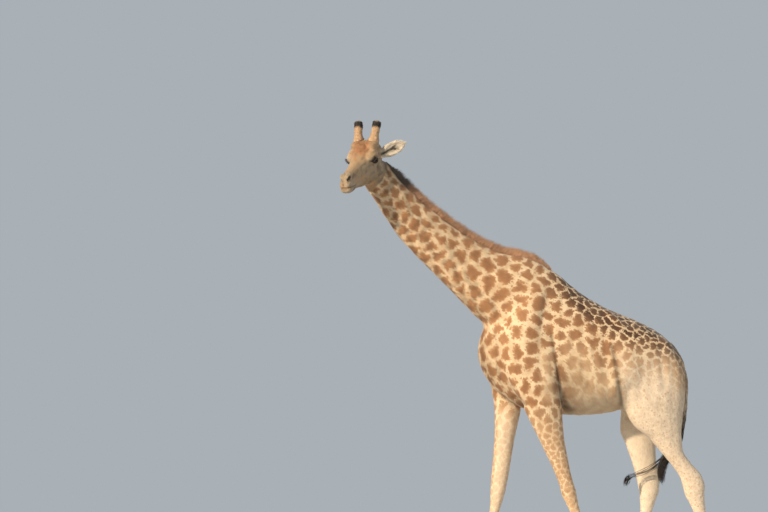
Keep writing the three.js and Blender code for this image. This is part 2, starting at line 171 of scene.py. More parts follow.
def head_way(way):
    """A direction of the head's own frame as a unit vector of the row frame."""
    return unit(from_head(way) - EYE_MIDDLE)


NECK_AXIS = unit([-0.871, 0, 0.492])  # from the shoulders to the head
CREST_WAY = np.array([0.492, 0, 0.871])  # straight up out of the neck
NECK_ROOT = np.array([-0.16, 0.045, 2.64])
BODY_MIDDLE_Y = 0.045


# ---- mesh arrays ----
def read_rows(items, key, width, kind=np.float32):
    """One value of every item of a mesh, as rows of numbers."""
    values = np.empty(len(items) * width, kind)
    items.foreach_get(key, values)
    return values.reshape(-1, width)


def points_of(mesh):
    return read_rows(mesh.vertices, "co", 3).astype(float)


def normals_of(mesh):
    mesh.update()
    return read_rows(mesh.vertices, "normal", 3).astype(float)


def put_points(mesh, points):
    mesh.vertices.foreach_set("co", np.asarray(points, np.float32).ravel())
    mesh.update()


def put_mask(mesh, name, values):
    layer = mesh.attributes.new(name, "FLOAT", "POINT")
    layer.data.foreach_set("value", np.asarray(values, np.float32))


def put_vectors(mesh, name, values):
    layer = mesh.attributes.new(name, "FLOAT_VECTOR", "POINT")
    layer.data.foreach_set("vector", np.asarray(values, np.float32).ravel())


def shade_smooth(mesh):
    mesh.polygons.foreach_set("use_smooth", np.ones(len(mesh.polygons), bool))


def neighbour_table(mesh, most=8):
    """For each vertex its neighbours, padded with its own number."""
    edges = read_rows(mesh.edges, "vertices", 2, np.int32)
    both = np.concatenate([edges, edges[:, ::-1]])
    both = both[np.argsort(both[:, 0], kind="stable")]
    count = np.bincount(both[:, 0], minlength=len(mesh.vertices))
    start = np.concatenate([[0], np.cumsum(count)[:-1]])
    most = min(count.max(), most)
    table = np.repeat(np.arange(len(count))[:, None], most, axis=1)
    for k in range(most):
        has = count > k
        table[has, k] = both[start[has] + k, 1]
    return table


def softened(values, table, rounds):
    """Values on a mesh, spread a little among neighbours in each round."""
    for _ in range(rounds):
        values = 0.4 * values + 0.6 * values[table].mean(axis=1)
    return values


def roughness_of(values, table):
    """The graph Laplacian of values, scaled so that its largest response is about 2."""
    return (table.shape[1] * values - values[table].sum(axis=1)) / 4


def faired(points, table, strength, rounds):
    """Solves for points near the given ones, whose bending is held down by strength."""
    weight = strength[:, None]

    def apply(x):
        return x + roughness_of(weight * roughness_of(x, table), table)

    found = points.copy()
    rest = points - apply(found)
    step = rest.copy()
    size = (rest * rest).sum(axis=0)
    first = size.copy() + 1e-30
    for _ in range(rounds):
        pushed = apply(step)
        along = size / ((step * pushed).sum(axis=0) + 1e-30)
        found += along * step
        rest -= along * pushed
        new = (rest * rest).sum(axis=0)
        if (new < TINY * first).all():
            break
        step = rest + (new / size) * step
        size = new
    return found


def new_object(name, data):
    piece = bpy.data.objects.new(name, data)
    bpy.context.scene.collection.objects.link(piece)
    return piece


def to_bmesh(mesh):
    bm = bmesh.new()
    bm.from_mesh(mesh)
    return bm


def to_mesh(bm, name):
    """A new mesh from a bmesh, which is freed."""
    mesh = bpy.data.meshes.new(name)
    bm.to_mesh(mesh)
    bm.free()
    return mesh


def joined_nodes(names, swell=0.0):
    """A bmesh with copies of CAD nodes, swollen a little."""
    joined = bmesh.new()
    for name in names:
        node = to_bmesh(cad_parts[name].data)
        bmesh.ops.remove_doubles(node, verts=node.verts, dist=1e-5)
        node.normal_update()
        for v in node.verts:
            v.co += v.normal * swell
        copy = to_mesh(node, "copy")
        joined.from_mesh(copy)
        bpy.data.meshes.remove(copy)
    return joined


def remeshed(bm, voxel):
    """The outside of a bmesh as even quads."""
    mesh = to_mesh(bm, "rough")
    rough = new_object("rough", mesh)
    modifier = rough.modifiers.new("even", "REMESH")
    modifier.mode = "VOXEL"
    modifier.voxel_size = voxel
    even = bpy.data.meshes.new_from_object(rough.evaluated_get(bpy.context.evaluated_depsgraph_get()))
    bpy.data.objects.remove(rough)
    bpy.data.meshes.remove(mesh)
    return even


def smooth_copy(node, voxel, strength, rounds=80):
    """A CAD node as a smooth mesh of about the same size."""
    mesh = remeshed(joined_nodes([node]), voxel)
    points = points_of(mesh)
    put_points(mesh, faired(points, neighbour_table(mesh), np.full(len(points), float(strength)), rounds))
    return mesh


def keep_side(bm, point, outward, cap=False):
    """Cuts a bmesh by a plane and keeps what lies behind it."""
    made = bmesh.ops.bisect_plane(
        bm, geom=bm.verts[:] + bm.edges[:] + bm.faces[:], dist=1e-6,
        plane_co=Vector(point), plane_no=Vector(outward), clear_outer=True,
    )
    if cap:
        rim = [e for e in made["geom_cut"] if isinstance(e, bmesh.types.BMEdge)]
        bmesh.ops.holes_fill(bm, edges=rim)


def keep_largest(bm):
    """Removes every loose island but the one with most vertices."""
    left = set(bm.verts)
    islands = []
    while left:
        front = [left.pop()]
        island = list(front)
        while front:
            near = [e.other_vert(v) for v in front for e in v.link_edges]
            front = [v for v in set(near) if v in left]
            left.difference_update(front)
            island += front
        islands.append(island)
    islands.sort(key=len)
    bmesh.ops.delete(bm, geom=[v for i in islands[:-1] for v in i], context="VERTS")


def solid_tree(names):
    """One search tree over the solids of some nodes, and the node of each of its faces."""
    points, faces, owner = [], [], []
    for name in names:
        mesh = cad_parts[name].data
        shift = len(points)
        points += [tuple(v.co) for v in mesh.vertices]
        faces += [[shift + i for i in p.vertices] for p in mesh.polygons]
        owner += [name] * len(mesh.polygons)
    return BVHTree.FromPolygons(points, faces), np.array(owner)


def point_tree(points):
    tree = kdtree.KDTree(len(points))
    for i, p in enumerate(points):
        tree.insert(p, i)
    tree.balance()
    return tree


# ---- the skin: one surface over all flesh ----
HEAD_CUT = from_head([-0.23, 0.04, -0.185])  # a point in the neck where the fine mesh of the head ends
HEAD_CUT_WAY = unit([0.80, 0.10, -0.55])
NECK_STUB = 0.14  # the fine mesh runs this far past the cut while it is faired
SEAM_GAP = 0.008  # between the rims of head and body before they are bridged
SEAM_FADE = 0.035  # the bridge is smoothed over about this much on each side
SEAM_REACH = 0.4  # which keeps that smoothing to the neck
SEAM_ROUNDS = 25
# How strongly the skin is faired on most of it and where some solids are nearest, then the rounds in
# which that strength is softened and those in which it is solved.
HEAD_FAIRING = (260, [(EARS, 3)], 12, 120)
BODY_FAIRING = (3000, [(LEGS, 500), (LOWER_LEGS, 40), (["tail"], 12)], 20, 140)
FLESH_TREE, FACE_OWNER = solid_tree(FLESH + EARS)


def nearest_nodes(points):
    """The name of the solid that lies nearest each point."""
    return FACE_OWNER[[FLESH_TREE.find_nearest(p)[2] for p in points]]


def fair_skin(mesh, most, others, blur, rounds):
    """Fairs a part of the skin, with a strength that changes gently from one solid to the next."""
    table = neighbour_table(mesh)
    points = points_of(mesh)
    labels = nearest_nodes(points)
    strength = np.full(len(points), math.log(most))
    for names, own in others:
        strength[np.isin(labels, names)] = math.log(own)
    put_points(mesh, faired(points, table, np.exp(softened(strength, table, blur)), rounds))


def head_part():
    """The head's half of the skin, at a fine mesh size, open behind."""
    stub = joined_nodes(["neck"], SWELL)
    keep_side(stub, HEAD_CUT + HEAD_CUT_WAY * NECK_STUB, HEAD_CUT_WAY, cap=True)
    fine = joined_nodes(["head", "jaw", "eye_left", "eye_right"] + EARS, SWELL)
    fine.from_mesh(to_mesh(stub, "neck_stub"))
    whole = to_bmesh(remeshed(fine, HEAD_VOXEL))
    keep_largest(whole)
    mesh = to_mesh(whole, "head_skin")
    fair_skin(mesh, *HEAD_FAIRING)
    head = to_bmesh(mesh)
    keep_side(head, HEAD_CUT, HEAD_CUT_WAY)
    return head


def body_part():
    """The rest of the skin, at a coarser mesh size, open in front."""
    mesh = remeshed(joined_nodes(FLESH, SWELL), BODY_VOXEL)
    fair_skin(mesh, *BODY_FAIRING)
    body = to_bmesh(mesh)
    keep_side(body, HEAD_CUT + HEAD_CUT_WAY * SEAM_GAP, -HEAD_CUT_WAY)
    keep_largest(body)
    return body


def refine(bm, centres, reach):
    """Splits the faces near some places once more."""
    edges = [
        e for e in bm.edges
        if min((e.verts[0].co - c).length for c in centres) < reach
    ]
    bmesh.ops.subdivide_edges(bm, edges=edges, cuts=1, use_grid_fill=True)


def skin_mesh():
    """Head and body bridged into one surface, with a finer mesh round the eyes and nostrils."""
    whole = head_part()
    whole.from_mesh(to_mesh(body_part(), "body_skin"))
    bmesh.ops.bridge_loops(whole, edges=[e for e in whole.edges if e.is_boundary])
    bmesh.ops.triangulate(whole, faces=[f for f in whole.faces if len(f.verts) > 4])
    bmesh.ops.recalc_face_normals(whole, faces=whole.faces)
    eyes = [Vector(c) for c in EYES.values()]
    nostrils = [Vector(from_head(NOSTRIL * [1, side, 1])) for side in SIDES]
    refine(whole, eyes, EYE_RADIUS + 0.016)
    refine(whole, eyes, EYE_RADIUS + 0.009)
    refine(whole, nostrils, 0.034)
    mesh = to_mesh(whole, "skin")
    put_points(mesh, smooth_seam(points_of(mesh), neighbour_table(mesh)))
    return mesh


def smooth_seam(points, table):
    """Evens out the bridge between head and body."""
    seam = ridge((points - HEAD_CUT) @ HEAD_CUT_WAY, 0, SEAM_FADE)
    near = np.linalg.norm(points - HEAD_CUT, axis=1) < SEAM_REACH
    share = (seam * near)[:, None] * 0.6
    for _ in range(SEAM_ROUNDS):
        points += share * (points[table].mean(axis=1) - points)
    return points


# ---- details of the head ----
NOSTRIL = np.array([0.316, 0.053, -0.018])
MOUTH_FRONT = np.array([0.348, -0.082])  # x and z of the mouth line in the head's frame
MOUTH_CORNER = np.array([0.231, -0.105])
LID = 0.0022  # the lids stand this far over the eye
LID_RIM = 0.0012  # which their rims add to
LID_FOLD = 0.0022  # depth of the fold above the upper lid
LID_REACH = 0.020  # the lids end this far past the eye
EYE_BED = 0.004  # behind the ball the skin lies this far inside its surface
APERTURE = {"half_length": 0.93, "up": 0.56, "down": 0.46}  # of the eye's radius
HORN_WAY = [-0.585, 0, 0.81]
# Swellings and hollows on each side of the head: where, how far they reach, how high, and which way.
HEAD_FORMS = [
    ([-0.006, 0.098, 0.058], [0.045, 0.035, 0.032], -0.008, [0, 1, 0.4]),  # brow
    ([-0.060, 0.092, 0.098], [0.050, 0.035, 0.035], 0.013, [0, 1, 0.4]),  # slope behind the brow
    ([-0.075, 0.075, -0.135], [0.075, 0.05, 0.075], 0.012, [-0.3, 1, -0.3]),  # jaw
    ([-0.094, 0.069, 0.110], [0.045, 0.045, 0.05], 0.012, HORN_WAY),  # foot of the horn
]


def eye_axes(side):
    """The way the eye looks, its length and its height, in the row frame."""
    looks = head_way([0.45, side * 0.87, 0.12])
    length = square_to(looks, head_way([0.88, side * -0.45, -0.22]))
    height = np.cross(looks, length)
    return looks, length, height * np.sign(height[2])


def eye_opening(points, side):
    """Below 0 inside the opening between the lids, above 0 outside, in shares of the radius."""
    looks, length, height = eye_axes(side)
    way = units(points - EYES[side], TINY)
    across, up = way @ length, way @ height
    tall = np.where(up > 0, APERTURE["up"], APERTURE["down"])
    shape = np.abs(up) / tall + (across / APERTURE["half_length"]) ** 2 - 1
    return np.where(way @ looks > 0.1, shape * tall, 1.0)


def near_eye(points, side, margin):
    return np.linalg.norm(points - EYES[side], axis=1) < EYE_RADIUS + margin


def shape_lids(points):
    """Draws the skin back inside the eyes' openings, and lays lids with rims and folds round them."""
    for side, middle in EYES.items():
        looks, _, height = eye_axes(side)
        way = points - middle
        reach = np.linalg.norm(way, axis=1)
        near = near_eye(points, side, LID_REACH) & (way @ looks > -0.2 * EYE_RADIUS)
        opening = eye_opening(points, side)
        rim = ridge(opening, 0.10, 0.09) * LID_RIM
        fold = ridge(opening, 0.42, 0.07) * LID_FOLD * (way @ height > 0)
        lid = EYE_RADIUS + LID + rim - fold
        front = ramp(way @ looks / (reach + TINY), 0.05, 0.45)
        covered = blend(reach, np.maximum(reach, lid), front) - fold
        open_here = (1 - ramp(opening, -0.05, 0.06)) * front
        wanted = blend(covered, EYE_RADIUS - EYE_BED, open_here)
        points[near] = middle + way[near] * (wanted / (reach + TINY))[near, None]
    return points


def shape_head(points):
    """Draws the nose back, fills out lips, cheeks and horn feet, and flattens the brows."""
    place = to_head(points)
    x, y, z = place.T
    push = np.zeros_like(place)
    nose = ramp(x, 0.26, 0.34) * ramp(z, -0.075, -0.025)
    lips = ramp(x, 0.29, 0.34) * ridge(z, -0.088, 0.036)
    push[:, 0] += -0.012 * nose + 0.004 * lips
    push[:, 1] += y * (-0.10 * nose + 0.03 * lips)
    for side in SIDES:
        mirror = np.array([1, side, 1])
        for middle, reach, height, way in HEAD_FORMS:
            push += (height * blob(place * mirror, middle, reach))[:, None] * unit(way) * mirror
    return from_head(place + push)


def nostril_field(place, side):
    """Below 1 inside the nostril, in its own measure."""
    x, y, z = (place * [1, side, 1] - NOSTRIL).T
    slant = z + 0.45 * x
    return np.sqrt((x / 0.020) ** 2 + (slant / 0.0135) ** 2 + (y / 0.03) ** 2)


def mouth_line(place):
    """How far above the line between the lips, how far along it, and whether near enough to it."""
    share = (place[:, 0] - MOUTH_CORNER[0]) / (MOUTH_FRONT[0] - MOUTH_CORNER[0])
    line = MOUTH_CORNER[1] + (MOUTH_FRONT[1] - MOUTH_CORNER[1]) * share
    return place[:, 2] - line, share, place[:, 0] > 0.15


def shape_muzzle(points, normals):
    """Sinks the nostrils and the line between the lips, and raises their rims."""
    place = to_head(points)
    for side in SIDES:
        field = nostril_field(place, side)
        hollow = -0.013 * np.exp(-(field ** 4) * 0.6)
        rim = 0.0035 * ridge(field, 1.5, 0.4) * (place[:, 2] > NOSTRIL[2] - 0.02)
        points += normals * (hollow + rim)[:, None]
    above, share, near = mouth_line(place)
    groove = -0.005 * ridge(above, 0, 0.0035)
    lips = 0.0015 * ridge(np.abs(above), 0.010, 0.006)
    points += normals * ((groove + lips) * ramp(share, -0.08, 0.1) * near)[:, None]
    return points


# ---- ears ----
EAR_LENGTH = 0.205
EAR_HALF_WIDTH = 0.056
EAR_ROOT = {f"ear_{name}": from_head([-0.136, side * 0.088, -0.004]) for side, name in SIDES.items()}
EAR_WAY = {"ear_left": head_way([-0.6, 0.78, 0.2]), "ear_right": head_way([-0.93, -0.3, 0.14])}
EAR_OPEN = {
    "ear_left": square_to(EAR_WAY["ear_left"], head_way([0.8, 0.55, 0.2])),
    "ear_right": square_to(EAR_WAY["ear_right"], head_way([0.1, -1, 0.2])),
}


def ear_place(points, name):
    """How far each point lies along an ear and to its side, as shares of its length and half width."""
    away = points - EAR_ROOT[name]
    across = np.cross(EAR_WAY[name], EAR_OPEN[name])
    return away @ EAR_WAY[name] / EAR_LENGTH, away @ across / EAR_HALF_WIDTH


def fill_ears(points, normals, part):
    """Makes the hollow of each ear shallower and draws out its tip."""
    for name in EARS:
        share, across = ear_place(points, name)
        inside = ramp(normals @ EAR_OPEN[name], 0.1, 0.6) * part[name]
        rise = 0.008 * np.clip(1 - across ** 2, 0, 1) * np.clip(1 - (2 * share - 1) ** 2, 0, 1)
        points = points + EAR_OPEN[name] * (inside * rise)[:, None]
        points = points + EAR_WAY[name] * (0.012 * part[name] * ramp(share, 0.4, 1.0))[:, None]
    return points


def ear_hollow(points, normals, part):
    """The inside of the ears, and the dark streak that forks in it."""
    inside = np.zeros(len(points))
    dark = np.zeros(len(points))
    for name in EARS:
        share, across = ear_place(points, name)
        faces = ramp(normals @ EAR_OPEN[name], 0.1, 0.5) * part[name]
        inside += faces
        stem = ridge(across, 0, 0.24) * (1 - ramp(share, 0.55, 0.75))
        fork = ridge(np.abs(across), 1.1 * (share - 0.38), 0.16)
        fork = fork * ramp(share, 0.36, 0.5) * (1 - ramp(share, 0.62, 0.82))
        dark += faces * np.clip(stem + 0.8 * fork, 0, 1)
    return inside, dark


# ---- regions and the lie of the coat ----
def regions(labels, table):
    """Soft shares of each part of the body, at every point of the skin."""
    def share(names, rounds):
        return softened(np.isin(labels, names).astype(float), table, rounds)

    part = {name: share([name], 24) for name in FLESH}
    part |= {name: share([name], 4) for name in EARS}
    part["face"] = share(["head", "jaw"], 14)
    part["ears"] = share(EARS, 4)
    part["fore"] = part["foreleg_left"] + part["foreleg_right"]
    part["hind"] = part["hindleg_left"] + part["hindleg_right"]
    part["lower"] = sum(part[name] for name in LOWER_LEGS)
    return part


def below_back(points, labels):
    """How far each point lies below the line of the back."""
    trunk = points[labels == "trunk"]
    steps = np.linspace(-0.3, 1.3, 17)
    tops = [trunk[np.abs(trunk[:, 0] - x) < 0.06, 2].max() for x in steps]
    return np.interp(points[:, 0], steps, tops) - points[:, 2]


def thigh_share(points):
    """1 on the pale lower thigh, fading up toward the rump and forward to the flank."""
    x, z = points[:, 0], points[:, 2]
    front = 0.64 + 0.25 * np.clip(2.1 - z, 0, 0.5)
    return ramp(x, front - 0.01, front + 0.05) * (1 - ramp(z, 1.85, 2.28))


def inner_side(points, normals, labels):
    """The inner faces of the legs, which carry almost no spots."""
    inner = np.zeros(len(points))
    for leg in LEGS:
        of_leg = (labels == leg) | (labels == leg + "_lower")
        outward = -1 if leg.endswith("left") else 1
        low = 1 - ramp(points[:, 2], 1.55, 1.85)
        inner[of_leg] = (ramp(-normals[:, 1] * outward, 0.15, 0.7) * low)[of_leg]
    return inner


def flank_share(points, part):
    """1 on the outer faces of the trunk and the upper legs."""
    outer = ramp(np.abs(points[:, 1] - BODY_MIDDLE_Y), 0.08, 0.16)
    return np.clip(part["trunk"] + part["fore"] + part["hind"], 0, 1) * outer


def lie_of_coat(points, normals, part):
    """The way the hair points, along the skin."""
    hanging = ramp(-points[:, 2], -2.2, -1.8)
    down = np.clip(part["fore"] + part["hind"] + part["lower"], 0, 1) + 0.5 * hanging
    way = np.tile([0.86, 0, -0.5], (len(points), 1))
    for share, lie in (
        (np.clip(down, 0, 1), np.array([0.22, 0, -1.0])),
        (part["neck"], -NECK_AXIS),
        (part["face"], -NOSEWARD - 0.35 * CROWNWARD),
        (part["tail"], np.array([0.1, 0, -1])),
        (part["ear_left"], EAR_WAY["ear_left"]),
        (part["ear_right"], EAR_WAY["ear_right"]),
    ):
        way = blend(way, lie, share[:, None])
    return units(along_surface(way, normals), TINY)


# ---- patches ----
TRUNK_SPACING = 0.098  # metres between the seeds of the patches
LEG_SPACING = 0.036
PATCH_WARPS = ((0.013, 0.085, 40), (0.005, 0.034, 50))  # how far rims wander, over what length, seed


def patch_spacing(g):
    """How far apart the seeds of the patches are: less on back, rump, thigh, legs and upper neck."""
    part, x, z = g.part, g.x, g.z
    spacing = np.full(len(x), TRUNK_SPACING)
    up_neck = ramp((g.points - NECK_ROOT) @ NECK_AXIS, 0.1, 1.15)
    spacing += part["neck"] * (0.004 - 0.024 * up_neck)
    back = ramp(x, 0.05, 0.45) * (1 - ramp(g.below, 0.10, 0.42))
    spacing -= 0.042 * back
    spacing -= 0.030 * ramp(x, 0.70, 1.05) * (1 - back)
    spacing = blend(spacing, LEG_SPACING + 0.024 * ramp(z, 1.7, 2.1), g.thigh)
    spacing = blend(spacing, 0.034 + 0.046 * ramp(z, 1.25, 1.85), part["fore"])
    return blend(spacing, LEG_SPACING, np.clip(part["lower"] + part["face"], 0, 1))


def patch_fields(points, spacing):
    """Seeds spread over the skin. Each point's distance to its patch's edge, and its patch's tone."""
    rng = np.random.default_rng(SEED)
    warped = points.copy()
    for axis in range(3):
        for height, wavelength, seed in PATCH_WARPS:
            warped[:, axis] += height * waves(points, wavelength, seed + axis) * (spacing / 0.1)
    tree = point_tree(points)
    taken = np.zeros(len(points), bool)
    seeds = []
    for i in rng.permutation(len(points)):
        if taken[i]:
            continue
        seeds.append(i)
        taken[[found[1] for found in tree.find_range(points[i], spacing[i])]] = True
    seed_tree = point_tree(points[seeds])
    near = [seed_tree.find_n(p, 2) for p in warped]
    first, second = (np.array([n[k][2] for n in near]) for k in (0, 1))
    owner = np.array([n[0][1] for n in near])
    return (second - first) / 2, rng.uniform(0, 1, len(seeds))[owner]


# ---- one set of masks for skin and coat ----
NAPE_START = np.array([-1.20, -0.01, 3.72])  # of the black upper mane
NAPE_END = np.array([-0.99, 0.02, 3.53])
# ends of a painted shadow of the head on the neck, behind the ear and the jaw
BEHIND_EAR = np.array([-1.185, -0.05, 3.69])
BEHIND_JAW = np.array([-1.170, -0.06, 3.58])
UPPER_ARM = ((0.08, 2.12), (0.11, 1.80), 0.055)  # a paler band, from the side
FOREHEAD_SPOTS = ([-0.04, 0.022, 0.13], [0.045, 0.035, 0.10], [0.100, 0.0, 0.07], [0.120, 0.015, 0.06])
SPOT_REACH = [0.018, 0.014, 0.03]
# Dark marks in the head's frame: kind, share and place. The pairs give the left one of two.
DARK_PAIRS = [
    # painted shade of the fold in front of the brow
    (streak, 0.95, [0.012, 0.116, 0.000], [0.040, 0.095, 0.024], 0.011),  # before the eye
    (streak, 0.80, [-0.018, 0.120, 0.010], [-0.058, 0.119, 0.018], 0.010),  # behind the eye
    # painted shade on the side of the chin, under the lower lip
    (streak, 0.70, [0.236, 0.050, -0.108], [0.300, 0.040, -0.128], 0.010),  # beside the chin
    (blob, 0.45, [0.240, 0.060, -0.012], [0.032, 0.030, 0.030]),  # behind the nostril
]
DARK_SINGLES = [
    (blob, 0.32, [0.062, 0.0, 0.085], [0.034, 0.022, 0.04]),  # between the eyes
    (streak, 0.30, [0.350, 0.0, -0.020], [0.355, 0.0, -0.055], 0.008),  # down the upper lip
    # painted shade under the jaw
    (streak, 0.40, [0.040, 0.030, -0.165], [-0.045, 0.055, -0.160], 0.016),  # under the jaw
]
# Folds of the skin, seen from the side: x and z of both ends, width, depth. The depth also sets how dark
# the painted shade in the fold is.
CREASES = [
    ((0.145, 2.28), (0.185, 2.02), 0.016, 0.9),  # behind the shoulder muscle
    ((0.185, 2.02), (0.225, 1.82), 0.018, 1.1),  # behind the elbow
    ((0.225, 1.82), (0.275, 1.73), 0.026, 1.0),
    ((-0.290, 2.36), (-0.275, 2.02), 0.013, 0.5),  # between the breast and the shoulder
    ((-0.275, 2.02), (-0.215, 1.87), 0.015, 0.8),
    ((-0.215, 1.87), (-0.070, 1.73), 0.013, 0.6),
    ((0.635, 2.20), (0.690, 1.92), 0.020, 0.9),  # in front of the thigh
    ((0.690, 1.92), (0.775, 1.64), 0.022, 1.1),
]
# painted shade in the armpit, seen from the side: x and z of both ends, and width
ARMPIT = ((0.285, 1.72), (0.34, 1.70), 0.035)


def crease_field(points):
    """How deep the deepest fold is at each point, in its own measure."""
    return np.max([depth * side_streak(points, *line) for *line, depth in CREASES], axis=0)


class Ground:
    """The skin's points, with the places and shares that several masks are worked out from."""

    def __init__(self, points, normals, table, labels, part):
        self.points, self.normals, self.part = points, normals, part
        self.x, _, self.z = points.T
        self.place = to_head(points)
        self.hx, hy, self.hz = self.place.T
        self.aside = np.abs(hy)
        self.below = below_back(points, labels)
        self.thigh = thigh_share(points)
        self.inner = softened(inner_side(points, normals, labels), table, 3)
        self.nape = streak(points, NAPE_START, NAPE_END, 0.05)
        self.rump_rear = ramp(self.x, 1.08, 1.26) * ramp(self.z, 1.75, 2.0) * (1 - ramp(self.z, 2.3, 2.5))
        self.muzzle = ramp(self.hx, 0.22, 0.27) * (1 - ramp(self.hz, -0.055, -0.035))
        self.chin = ramp(-self.hz, 0.095, 0.13) * ramp(self.hx, 0.12, 0.22)


def fade_mask(g):
    """Where the patches fade: low on the trunk, on arms, thighs and shanks, and all over the face."""
    part, x, z = g.part, g.x, g.z
    low_flank = ramp(x, 0.15, 0.35) * ramp(g.below, 0.42, 0.72)
    low_belly = ramp(x, 0.25, 0.50) * ramp(-z, -1.90, -1.74) * part["trunk"]
    front_legs = np.clip(part["fore"] + part["lower"] * (x < 0.5), 0, 1)
    back_of_jaw = part["face"] * (1 - ramp(g.hx, -0.03, 0.05)) * (1 - ramp(g.hz, -0.06, 0.0))
    return np.max([
        0.45 * low_flank + 0.45 * low_belly,
        g.inner * (0.95 - 0.25 * front_legs),
        0.45 * side_streak(g.points, *UPPER_ARM),
        0.34 * part["fore"] * (1 - ramp(z, 1.45, 1.90)),
        0.82 * g.thigh * (1 - 0.5 * g.rump_rear),
        0.30 * ramp(x, 0.62, 0.70) * ramp(g.below, 0.25, 0.42),
        0.55 * part["lower"],
        part["face"] * (1 - 0.55 * back_of_jaw),
        part["ears"],
        part["tail"] * ramp(-z, -2.0, -1.85),
    ], axis=0)


def deep_mask(g):
    """Where the patches are darkest: along the back and behind the rump."""
    upper = ramp(g.x, 0.02, 0.40) * (1 - ramp(g.below, 0.12, 0.38))
    deep = np.clip(upper + 0.15 * ramp(g.x, -0.2, 0.3), 0, 1)
    return deep * (1 - g.thigh) + 0.30 * g.rump_rear


def warm_mask(g):
    """The rusty forehead with its spots, and a tint on the neck."""
    forehead = np.exp(-((g.hx + 0.01) / 0.085) ** 4 - (g.aside / 0.075) ** 4) * ramp(g.hz, 0.04, 0.085)
    spots = sum(blob(g.place, spot, SPOT_REACH) for spot in FOREHEAD_SPOTS)
    return 1.15 * forehead + 0.7 * spots + 0.10 * g.part["neck"]


def grey_mask(g):
    """The grey of cheeks, nose, muzzle and chin, of the nape and of the tail, and a painted shade on the
    rump's rear edge.
    """
    cheek = ramp(g.aside, 0.040, 0.062) * (1 - ramp(g.hz, 0.0, 0.045)) * (1 - ramp(g.hx, 0.20, 0.29))
    nose = 0.8 * ramp(g.hx, 0.22, 0.28) * ramp(g.hz, -0.055, -0.03)
    head = g.part["face"] * np.clip(0.9 * cheek + nose + 0.75 * g.muzzle + 0.6 * g.chin, 0, 1)
    # a painted shade greys the rump's rearmost edge, which turns away from the light
    rump = 0.15 * g.rump_rear * ramp(g.x, 1.2, 1.32)
    return head + 0.8 * g.nape + rump + 0.45 * g.part["tail"]


def white_mask(g):
    """The pale lips, chin and brows, the ears, the inner legs, the thighs and the belly."""
    part = g.part
    brow = mirrored(streak, g.place, [0.045, 0.095, 0.035], [-0.045, 0.110, 0.048], 0.012)
    under_eye = mirrored(blob, g.place, [0.03, 0.112, -0.042], [0.05, 0.03, 0.010])
    # painted light on the far brow, which faces the light
    far_brow_painted_light = blob(g.place, [0.01, -0.12, 0.03], [0.06, 0.03, 0.05])
    head = 0.30 * g.muzzle + 0.30 * g.chin + 0.6 * brow + 0.3 * under_eye + 0.5 * far_brow_painted_light
    belly = ramp(-g.z, -1.95, -1.72) * ramp(g.x, 0.05, 0.3)
    belly *= 1 - part["fore"] - part["hind"] - part["lower"]
    return np.max([
        np.clip(part["face"] * head, 0, 1),
        part["ears"],
        0.55 * g.inner,
        0.75 * g.thigh * (1 - g.rump_rear),
        0.20 * belly,
    ], axis=0)


def dark_mask(g):
    """Bare or black skin round the eyes, in nostrils, mouth and ears, on the nape; painted shade in folds,
    armpit and about the jaw.
    """
    face, place, points = g.part["face"], g.place, g.points
    dark = sum(share * mirrored(field, place, *where) for field, share, *where in DARK_PAIRS)
    dark += sum(share * field(place, *where) for field, share, *where in DARK_SINGLES)
    for side in SIDES:
        dark += near_eye(points, side, 0.03) * (1 - ramp(eye_opening(points, side), 0.22, 0.50))
        dark += 1 - ramp(nostril_field(place, side), 0.95, 1.5)
    above, share, near = mouth_line(place)
    dark += 0.5 * ridge(above, 0, 0.004) * ramp(share, -0.08, 0.05) * near
    dark += ear_hollow(points, g.normals, g.part)[1]
    # painted shadow of the head on the neck behind the jaw
    jaw_shadow = 0.60 * streak(points, BEHIND_EAR, BEHIND_JAW, 0.022)
    dark += np.maximum(0.85 * g.nape, jaw_shadow) * (1 - g.part["ears"])
    # painted shade on the near cheek, which turns away from the light
    dark += 0.50 * face * blob(place, [-0.062, 0.09, -0.082], [0.024, 0.05, 0.045])
    # painted shadow of the head, as darker mottling on the throat just below it
    throat = g.part["neck"] * ramp(-g.hz, 0.10, 0.20) * ramp(g.hx, -0.30, -0.22)
    dark += 0.35 * throat * ramp(waves(points, 0.09, 79), -0.3, 0.6)
    mottles = ramp(waves(place, 0.045, 77), 0.1, 0.8) * ramp(g.aside, 0.03, 0.06)
    dark += 0.28 * face * mottles * (1 - ramp(g.hx, 0.24, 0.30))
    nose = ramp(g.hx, 0.20, 0.26) * ramp(g.hz, -0.07, -0.03)
    dark += 0.35 * face * nose * ramp(waves(place, 0.030, 78), 0.1, 0.9)
    # painted shade in the folds of the skin, on the flanks and upper legs
    dark += 0.55 * crease_field(points) * flank_share(points, g.part)
    # painted shade in the armpit
    dark += 0.5 * side_streak(points, *ARMPIT) * g.part["trunk"]
    return dark


def fleck_mask(g):
    """Where the small flecks of the legs lie."""
    arm = g.part["fore"] * (1 - ramp(g.z, 1.3, 1.6))
    flecked = np.clip(0.9 * g.part["lower"] + 0.9 * g.thigh + 0.4 * arm, 0, 1)
    return flecked * (1 - 0.7 * g.inner)


def rust_mask(g):
    """The stained front of the lips and the mottled muzzle."""
    lips = 1.6 * blob(g.place, [0.345, -0.012, -0.072], [0.03, 0.030, 0.024])
    lips += 0.6 * blob(g.place, [0.335, 0.035, -0.085], [0.022, 0.016, 0.016])
    return lips + 0.35 * g.muzzle * ramp(waves(g.place, 0.035, 61), 0.0, 0.8)


def markings(g):
    """The value of every mask at every point of the skin."""
    spacing = patch_spacing(g)
    edge, tone = patch_fields(g.points, spacing)
    values = {
        "edge": edge, "spacing": spacing, "tone": tone,
        "fade": fade_mask(g), "deep": deep_mask(g), "warm": warm_mask(g), "grey": grey_mask(g),
        "white": white_mask(g), "dark": dark_mask(g), "fleck": fleck_mask(g), "rust": rust_mask(g),
        "face": g.part["face"],
    }
    return {name: np.clip(value, 0, 1) for name, value in values.items()}


